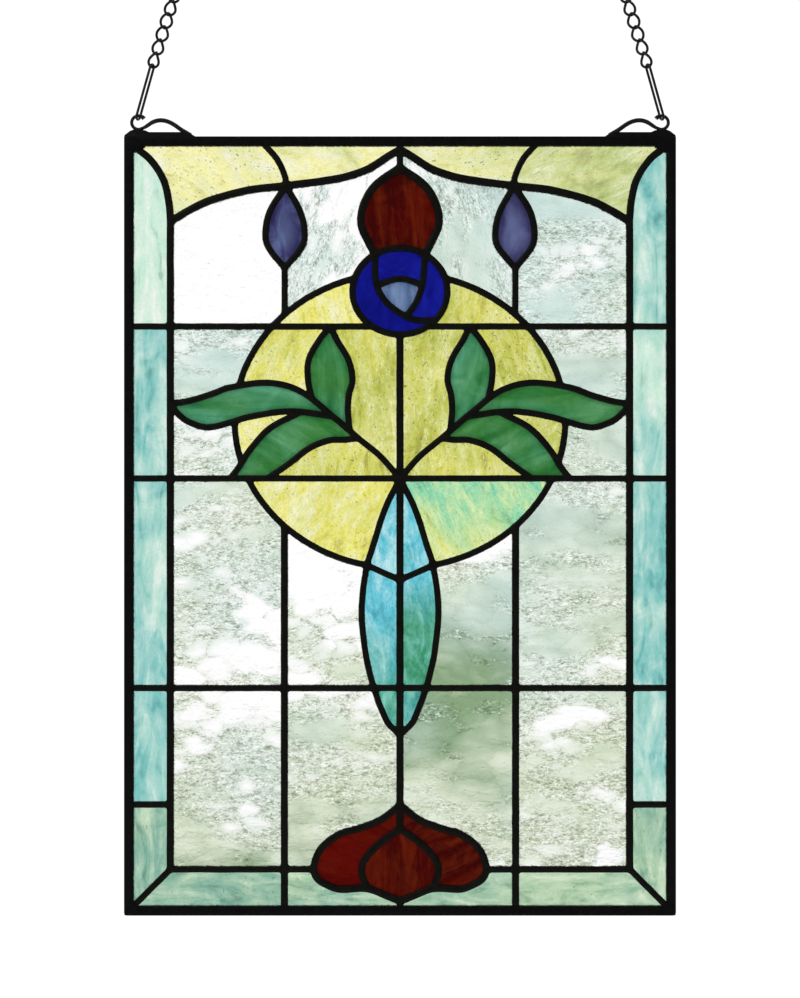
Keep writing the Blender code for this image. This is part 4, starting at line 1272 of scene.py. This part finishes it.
def shape_bead(lines):
    """The rounded face of solder over all the lead lines."""
    spread = settings().solder_spread

    def face_margin(line):
        if not line.face:
            return -BEAD_UNDER_FRAME
        wider = settings().upright_spread if line.name.startswith(UPRIGHT_LINES) else 0.0
        return line.face / 2 + wider + (spread if line.face == LEAD_FACE else 0.0)

    step = settings().bead_step
    loops = [resampled(filleted(loop, FILLET_REACH), step) for loop in lattice_loops(lines, face_margin)]
    loops = [[p if near_frame(p) else uneven(p) for p in loop] for loop in loops]
    points, indices = joined(loops)
    samples = [p for loop in loops for p in resampled(loop, EDGE_STEP) if not near_frame(p)]
    edges = search_tree(samples)
    everything = points + inner_points(lines, loops, edges)
    triangles = filled(everything, indices)
    heights = []
    for i, p in enumerate(everything):
        at_edge = i < len(points) and not near_frame(p)
        away = 0.0 if at_edge else edges.find((p.x, p.y, 0.0))[2]
        heights.append(bead_height(p, away, LEAD_FACE / 2 + spread))
    return Bead(everything, indices, triangles, heights)


def add_shell(body, bead, side, base, edge, rise):
    """One face of the leading as a closed shell: the rounded bead, its rim and its flat underside."""
    top = []
    for p, height in zip(bead.points, bead.heights):
        top.append(body.verts.new(to_world(p, side * (base + edge + rise * height))))
    for triangle in bead.triangles:
        body.faces.new([top[i] for i in triangle])
    count = sum(len(loop) for loop in bead.loops)
    low = [body.verts.new(to_world(p, side * base)) for p in bead.points[:count]]
    for loop in bead.loops:
        for i in range(len(loop)):
            a, b = loop[i - 1], loop[i]
            body.faces.new((top[a], top[b], low[b], low[a]))
    for triangle in filled(bead.points[:count], bead.loops):
        body.faces.new([low[i] for i in triangle])


def build_leading(lines, finish):
    bead = shape_bead(lines)
    for name, side in (("leading_front", -1), ("leading_back", 1)):
        body = bmesh.new()
        add_shell(body, bead, side, BEAD_BASE, BEAD_EDGE, settings().bead_rise)
        put_in_place(finish_mesh(name, body, finish, 60), ["leading"])
    build_hearts(lines, finish)


def build_hearts(lines, finish):
    """The thin wall of lead between the panes, which the two faces hide."""

    def heart_margin(line):
        return HEART_THICKNESS / 2 if line.face else -BEAD_UNDER_FRAME

    points, indices = joined(lattice_loops(lines, heart_margin))
    heart = Bead(points, indices, filled(points, indices), [1.0] * len(points))
    body = bmesh.new()
    add_shell(body, heart, 1, -HEART_HEIGHT / 2, 0.0, HEART_HEIGHT)
    put_in_place(finish_mesh("leading_heart", body, finish), ["leading"])


def cad_copy(name):
    """A bmesh of a CAD node's own shape, its loose triangles joined up."""
    body = bmesh.new()
    body.from_mesh(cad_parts[name].data)
    bmesh.ops.remove_doubles(body, verts=body.verts, dist=WELD)
    bmesh.ops.dissolve_limit(body, angle_limit=math.radians(1), verts=body.verts, edges=body.edges)
    return body


def build_frame(finish):
    """The four lengths of channel, with their edges rounded over."""
    for name in ("frame_top", "frame_bottom", "frame_left", "frame_right"):
        body = cad_copy(name)
        whole = [e for e in body.edges if len(e.link_faces) == 2]
        sharp = [e for e in whole if e.calc_face_angle(0) > math.radians(30)]
        round_over(body, sharp, CHANNEL_EDGE, 2)
        put_in_place(finish_mesh(name + "_channel", body, finish), [name])


def corner_outline(at_top):
    """The solder on a corner of the frame, as the constants give it."""
    return CORNER_START + (TOP_CORNER_INNER if at_top else LOW_CORNER_INNER) + CORNER_END


def build_corner_solder(finish):
    """Solder over the frame's mitres, which runs in over the lead that ends in each corner."""
    for name, side in (("frame_corners_front", -1), ("frame_corners_back", 1)):
        body = bmesh.new()
        for mirror in (-1, 1):
            for at_top in (False, True):
                loop = []
                for inward, along in corner_outline(at_top):
                    x = mirror * (PANEL_WIDTH / 2 - inward * MM)
                    z = PANEL_HEIGHT - along * MM if at_top else along * MM
                    loop.append(body.verts.new(to_world(Vector((x, z)), side * CORNER_MIDDLE)))
                body.faces.new(loop)
        thicken(body, side * CORNER_THICKNESS)
        bmesh.ops.recalc_face_normals(body, faces=body.faces)
        rim = [e for e in body.edges if all(abs(v.co.y) > 2 * CORNER_MIDDLE for v in e.verts)]
        round_over(body, rim, CORNER_EDGE, 3)
        put_in_place(finish_mesh(name, body, finish, 50), ["frame_top", "frame_bottom"])


def lug_ring_centre():
    return Vector((-PANEL_WIDTH / 2 + LUG_RING_INSET, PANEL_HEIGHT + LUG_RING_RISE))


def leaning(angle):
    """The direction, in X and Z, that leans in from upright on the left side."""
    return Vector((math.sin(angle), 0.0, math.cos(angle)))


def bent_wire(name, runs, diameter, finish, cyclic):
    """Round wire along runs of (x, y, z, thickness) points, the panel's bottom edge at z = 0."""
    data = bpy.data.curves.new(name, "CURVE")
    data.dimensions = "3D"
    data.bevel_depth = diameter / 2 + settings().wire_coat
    data.bevel_resolution = 4
    data.use_fill_caps = True
    data.materials.append(finish)
    for run in runs:
        spline = data.splines.new("POLY")
        spline.use_cyclic_u = cyclic
        spline.points.add(len(run) - 1)
        for point, (x, y, z, thickness) in zip(spline.points, run):
            point.co = (x, y, z + PANEL_BOTTOM, 1.0)
            point.radius = thickness
        spline.use_smooth = True
    return add_object(name, data)


def lug_path():
    """The left lug's wire: curled tip, open ring, then the low hump along the frame."""
    centre = lug_ring_centre()
    points = []
    for i in range(ARC_STEPS + 1):
        angle = math.radians(35 + (285 - 35) * i / ARC_STEPS)
        x = centre.x + LUG_RING_RADIUS * math.cos(angle)
        z = centre.y + LUG_RING_RADIUS * math.sin(angle)
        swell = LUG_TIP_SWELL * max(0.0, 1 - i / 5) ** 0.5
        points.append((x, 0.0, z, 1.0 + swell))
    left, top = -PANEL_WIDTH / 2, PANEL_HEIGHT
    apex = Vector((left + HUMP_INSET, top + HUMP_RISE))
    foot = Vector((points[-1][0], points[-1][2]))
    end = Vector((left + LUG_LENGTH - 3.5 * MM, top + LUG_WIRE / 2 + GAP))
    hump = [foot, foot.lerp(apex, 0.22), foot.lerp(apex, 0.62) + Vector((0.0, 1.4 * MM)), apex]
    hump += [apex.lerp(end, 0.32) + Vector((0.0, 1.6 * MM)), apex.lerp(end, 0.72), end]
    curve = smooth(hump)[1:]
    for i, p in enumerate(curve):
        grown = min(i / 4, 1.0) * (HUMP_WIRE / LUG_WIRE - 1)
        points.append((p.x, 0.0, p.y, 1.0 + grown if i < len(curve) - 1 else 1.0))
    return points


def solder_outline():
    """The left lug's solder, from the frame's corner to where the wire comes down."""
    left = -PANEL_WIDTH / 2
    base = PANEL_HEIGHT + 0.05 * MM
    top = PANEL_HEIGHT + SOLDER_RISE
    ring = lug_ring_centre()
    foot = left + LUG_LENGTH - 7.5 * MM
    return [
        Vector((left, base)),
        Vector((left + LUG_LENGTH, base)),
        Vector((foot, top + 1.0 * MM)),
        Vector((foot - 3.6 * MM, top)),
        Vector((ring.x + 8.0 * MM, top)),
        Vector((ring.x + 5.5 * MM, top + 1.4 * MM)),
        Vector((ring.x - 2.5 * MM, ring.y - LUG_RING_RADIUS)),
        Vector((left + 4.6 * MM, PANEL_HEIGHT + 4.6 * MM)),
        Vector((left, PANEL_HEIGHT + 1.0 * MM)),
    ]


def build_solder(name, mirror, finish):
    """The lump of solder that holds a lug down, its edges run round."""
    loop = mirrored(solder_outline()) if mirror else solder_outline()
    body = bmesh.new()
    body.faces.new([body.verts.new(to_world(p, -SOLDER_DEPTH / 2)) for p in loop])
    thicken(body, SOLDER_DEPTH)
    bmesh.ops.recalc_face_normals(body, faces=body.faces)
    low = PANEL_HEIGHT + PANEL_BOTTOM + 0.2 * MM
    round_over(body, [e for e in body.edges if max(v.co.z for v in e.verts) > low], SOLDER_EDGE, 4)
    return finish_mesh(name, body, finish, 50)


def hook_ends():
    """Centres of the round ends of the left hook, at the lug's ring and at the chain."""
    straight = HOOK_LENGTH - HOOK_OPENING - 2 * HOOK_WIRE
    ring = lug_ring_centre()
    low = Vector((ring.x, 0.0, ring.y + LUG_RING_RADIUS))
    return low, low + leaning(HOOK_LEAN) * straight


def hook_path():
    """Two straight strands and two half-round ends."""
    low, high = hook_ends()
    up = leaning(HOOK_LEAN)
    across = Vector((up.z, 0.0, -up.x)) * math.sin(HOOK_TURN) + Vector((0.0, math.cos(HOOK_TURN), 0.0))
    radius = (HOOK_OPENING + HOOK_WIRE) / 2
    points = []
    for centre, start in ((high, 0.0), (low, math.pi)):
        for i in range(ARC_STEPS // 2 + 1):
            angle = start + math.pi * i / (ARC_STEPS // 2)
            place = centre + across * radius * math.cos(angle) + up * radius * math.sin(angle)
            points.append((*place, 1.0))
    return points


def chain_places():
    """Centres of the left chain's links, and of its last ring."""
    inner = HOOK_OPENING / 2 - LINK_WIRE / 2 - GAP
    half = (LINK_LENGTH - LINK_WIRE) / 2
    pitch = 2 * half - LINK_WIRE + LINK_BITE
    up = leaning(CHAIN_LEAN)
    start = hook_ends()[1] + leaning(HOOK_LEAN) * inner + up * half
    links = [start + up * pitch * i for i in range(CHAIN_LINKS)]
    touching = (LINK_WIRE + RING_WIRE) / 2 - LINK_BITE
    return links, links[-1] + up * (half - touching + (RING_WIDTH - RING_WIRE) / 2)


def link_path(centre, facing):
    """A twisted link's wire. Its round ends stand a quarter turn apart about the chain."""
    up = leaning(CHAIN_LEAN)
    flat = Vector((up.z, 0.0, -up.x))
    half = (LINK_LENGTH - LINK_WIRE) / 2
    half_width = (LINK_WIDTH - LINK_WIRE) / 2
    points = []
    for i in range(LINK_STEPS):
        angle = 2 * math.pi * i / LINK_STEPS
        along = math.cos(angle)
        turn = facing + LINK_TWIST / 2 * along
        side = flat * math.cos(turn) + Vector((0.0, math.sin(turn), 0.0))
        place = centre + up * half * along + side * half_width * math.sin(angle)
        points.append((*place, 1.0))
    return points


def ring_path(centre):
    radius = (RING_WIDTH - RING_WIRE) / 2
    up = leaning(CHAIN_LEAN)
    flat = Vector((up.z, 0.0, -up.x))
    points = []
    for i in range(RING_STEPS):
        angle = 2 * math.pi * i / RING_STEPS
        points.append((*(centre + up * radius * math.cos(angle) + flat * radius * math.sin(angle)), 1.0))
    return points


def chain_runs():
    centres, ring = chain_places()
    runs = []
    for i, centre in enumerate(centres):
        facing = LINK_FACING - CHAIN_SWAY * math.sin(math.pi * i / (CHAIN_LINKS - 1)) ** 2
        runs.append(link_path(centre, facing))
    return runs + [ring_path(ring)]


def build_hanging(solder, steel):
    """Lugs, long links and chains on both sides."""
    for side, mirror in (("left", False), ("right", True)):

        def sided(run):
            return [(-x, y, z, r) for x, y, z, r in run] if mirror else run

        lug = bent_wire(f"lug_{side}_wire", [sided(lug_path())], LUG_WIRE, steel, False)
        put_in_place(lug, ["lug_" + side])
        put_in_place(build_solder(f"lug_{side}_solder", mirror, solder), ["lug_" + side])
        hook = bent_wire(f"hook_{side}_wire", [sided(hook_path())], HOOK_WIRE, steel, True)
        put_in_place(hook, ["hook_" + side])
        links = [sided(run) for run in chain_runs()]
        chain = bent_wire(f"chain_{side}_links", links, LINK_WIRE, steel, True)
        put_in_place(chain, ["chain_" + side])


def add_light(name, place, target, size, power):
    data = bpy.data.lights.new(name, "AREA")
    data.size = size
    data.energy = power
    lamp = add_object(name, data)
    lamp.location = place
    lamp.rotation_euler = (Vector(target) - Vector(place)).to_track_quat("-Z", "Y").to_euler()


def add_floor():
    body = bmesh.new()
    bmesh.ops.create_circle(body, cap_ends=True, segments=96, radius=FLOOR_RADIUS)
    bmesh.ops.translate(body, verts=body.verts, vec=(0.0, 0.0, FLOOR_HEIGHT))
    finish, shader = new_material("pale_floor")
    dress(finish, shader, Base_Color=(0.85, 0.85, 0.84, 1.0), Roughness=0.8)
    finish_mesh("floor", body, finish)


def add_camera():
    """A camera that faces the panel."""
    data = bpy.data.cameras.new("camera")
    data.lens = CAMERA_LENS
    data.sensor_fit = "VERTICAL"
    data.sensor_height = 36
    camera = add_object("camera", data)
    camera.location = CAMERA_PLACE
    camera.rotation_euler = (math.radians(90), 0.0, 0.0)
    bpy.context.scene.camera = camera


def add_sky():
    """Soft light from all round, strongest from behind the panel."""
    world = bpy.data.worlds.new("studio")
    world.use_nodes = True
    nodes, links = world.node_tree.nodes, world.node_tree.links
    direction = nodes.new("ShaderNodeTexCoord").outputs["Generated"]
    parts = nodes.new("ShaderNodeSeparateXYZ")
    links.new(direction, parts.inputs[0])
    strength = nodes.new("ShaderNodeMapRange")
    strength.interpolation_type = "SMOOTHSTEP"
    links.new(parts.outputs["Y"], strength.inputs["Value"])
    for key, value in (("From Min", -0.4), ("From Max", 0.2), ("To Min", 0.36), ("To Max", 1.06)):
        strength.inputs[key].default_value = value
    links.new(strength.outputs[0], nodes["Background"].inputs["Strength"])
    nodes["Background"].inputs["Color"].default_value = WHITE
    bpy.context.scene.world = world


def size_of(name, description, default, highest):
    """A size that the user may change."""
    return FloatProperty(
        name=name, description=description, default=default, min=0.0, max=highest,
        unit="LENGTH", precision=5,
    )


def shade_of(name, description, *parts):
    """A colour that the user may change."""
    return FloatVectorProperty(
        name=name, description=description, default=colour(*parts)[:3], min=0.0, max=1.0,
        subtype="COLOR",
    )


class LeadedPanelSettings(PropertyGroup):
    glass_relief: size_of(
        "Glass relief", "How far the rolled glass stands proud", 0.3 * MM, 0.5 * MM
    )
    relief_step: FloatProperty(
        name="Relief step", description="Distance between points of the glass's relief",
        default=3.0 * MM, min=1.0 * MM, unit="LENGTH", precision=4,
    )
    bead_step: FloatProperty(
        name="Bead step", description="Distance between points along a lead line",
        default=2.2 * MM, min=0.5 * MM, unit="LENGTH", precision=4,
    )
    bead_rise: size_of(
        "Bead rise", "How far the solder swells over the lead's edge", 0.8 * MM, 2.0 * MM
    )
    solder_spread: size_of(
        "Solder spread", "How far the solder runs out past the lead", 0.3 * MM, 1.0 * MM
    )
    upright_spread: size_of(
        "Upright lines", "How much further it runs on upright lines", 0.35 * MM, 1.0 * MM
    )
    wire_coat: size_of(
        "Coat on the wire", "Thickness of the black coat on the bent wire", 0.12 * MM, 0.5 * MM
    )
    clear_upper: shade_of("Clear glass, upper", "Tint of the clear glass at the top", 208, 229, 223)
    clear_lower: shade_of("Clear glass, lower", "Tint of the clear glass at the bottom", 216, 227, 203)
    aqua: shade_of("Border", "Border strips", 126, 202, 198)
    sea_green: shade_of("Border base", "Border along the bottom", 128, 183, 164)
    pale_yellow: shade_of("Top band", "Panes of the top band", 255, 252, 178)
    yellow: shade_of("Disc", "Panes of the disc", 246, 241, 116)
    green: shade_of("Leaves", "Leaves", 52, 126, 58)
    purple: shade_of("Purple buds", "Hanging buds", 60, 60, 112)
    red: shade_of("Red bud and tulip", "Red bud and tulip", 86, 3, 0)
    cobalt: shade_of("Blue flower", "Petals of the blue flower", 12, 16, 122)
    pale_blue: shade_of("Flower centre", "Middle of the blue flower", 92, 118, 160)
    turquoise: shade_of("Pod", "Panes of the pod", 104, 208, 226)
    metal: shade_of("Patina", "Black patina on the solder, where it is thickest", 8, 9, 5)
    worn_metal: shade_of("Worn patina", "Patina on the solder, where it is rubbed", 23, 25, 16)


class LEADED_OT_glass(Operator):
    """Cuts the panes and gives each its glass"""

    bl_idname = "leaded.glass"
    bl_label = "Glass panes"

    def execute(self, context):
        noise.seed_set(7)
        lines = all_lines()
        finishes = build_glasses()

        def glass_margin(line):
            return HEART_THICKNESS / 2 + GAP if line.face else -GLASS_IN_FRAME

        outlines = [(outline(cell), outline(inset(cell, glass_margin))) for cell in cells(lines)]
        counts = {}
        for node, (x, z), glass, turn, tone in pane_places():
            found = [pane for whole, pane in outlines if inside(at(x, z), whole)]
            if len(found) != 1:
                raise RuntimeError(f"no pane for {node} at {x}, {z}")
            counts[node] = counts.get(node, 0) + 1
            glass = ODD_PANES.get(node, glass)
            name = f"{node}_pane_{counts[node]}"
            build_pane(name, node, found[0], glass, turn, tone, finishes[glass])
        return {"FINISHED"}


class LEADED_OT_leading(Operator):
    """Runs the rounded solder lines between the panes"""

    bl_idname = "leaded.leading"
    bl_label = "Lead lines"

    def execute(self, context):
        kit = settings()
        dark, worn = (*kit.metal, 1.0), (*kit.worn_metal, 1.0)
        finish = dark_metal("blackened_solder", dark, worn, 0.42, 0.15)
        build_leading(all_lines(), finish)
        return {"FINISHED"}


class LEADED_OT_frame(Operator):
    """Rounds the edges of the frame's channel and solders its corners"""

    bl_idname = "leaded.frame"
    bl_label = "Frame"

    def execute(self, context):
        finish = dark_metal("black_channel", colour(3, 4, 3), colour(14, 16, 13), 0.45, 0.12)
        build_frame(finish)
        build_corner_solder(finish)
        return {"FINISHED"}


class LEADED_OT_hanging(Operator):
    """Bends the lugs, the long links and the chains, and runs the solder under the lugs"""

    bl_idname = "leaded.hanging"
    bl_label = "Lugs and chains"

    def execute(self, context):
        solder = dark_metal("lug_solder", colour(4, 5, 4), colour(18, 20, 15), 0.42, 0.15)
        steel = dark_metal("black_wire", colour(10, 11, 9), colour(40, 43, 34), 0.34, 0.28, 400.0, 0.15)
        build_hanging(solder, steel)
        return {"FINISHED"}


class LEADED_OT_stage(Operator):
    """Sets the floor, the light and the camera"""

    bl_idname = "leaded.stage"
    bl_label = "Stage"

    def execute(self, context):
        add_floor()
        add_camera()
        add_light("front_softbox", (-1.3, -1.5, 1.0), (0.0, 0.0, -0.35), 0.9, 9.0)
        add_sky()
        bpy.context.scene.view_settings.view_transform = "Standard"
        return {"FINISHED"}


class LEADED_PT_panel(Panel):
    bl_idname = "LEADED_PT_panel"
    bl_label = "Leaded panel"
    bl_space_type = "VIEW_3D"
    bl_region_type = "UI"
    bl_category = "Leaded panel"

    def draw(self, context):
        sizes = context.scene.leaded_panel
        for name in LeadedPanelSettings.__annotations__:
            self.layout.prop(sizes, name)
        for operator in PIECES:
            self.layout.operator(operator.bl_idname)


PIECES = (LEADED_OT_glass, LEADED_OT_leading, LEADED_OT_frame, LEADED_OT_hanging, LEADED_OT_stage)
CLASSES = (LeadedPanelSettings, *PIECES, LEADED_PT_panel)


def register():
    for item in CLASSES:
        bpy.utils.register_class(item)
    bpy.types.Scene.leaded_panel = PointerProperty(type=LeadedPanelSettings)


def unregister():
    del bpy.types.Scene.leaded_panel
    for item in reversed(CLASSES):
        bpy.utils.unregister_class(item)


def main():
    register()
    bpy.ops.leaded.glass()
    bpy.ops.leaded.leading()
    bpy.ops.leaded.frame()
    bpy.ops.leaded.hanging()
    bpy.ops.leaded.stage()


if __name__ == "__main__":
    main()
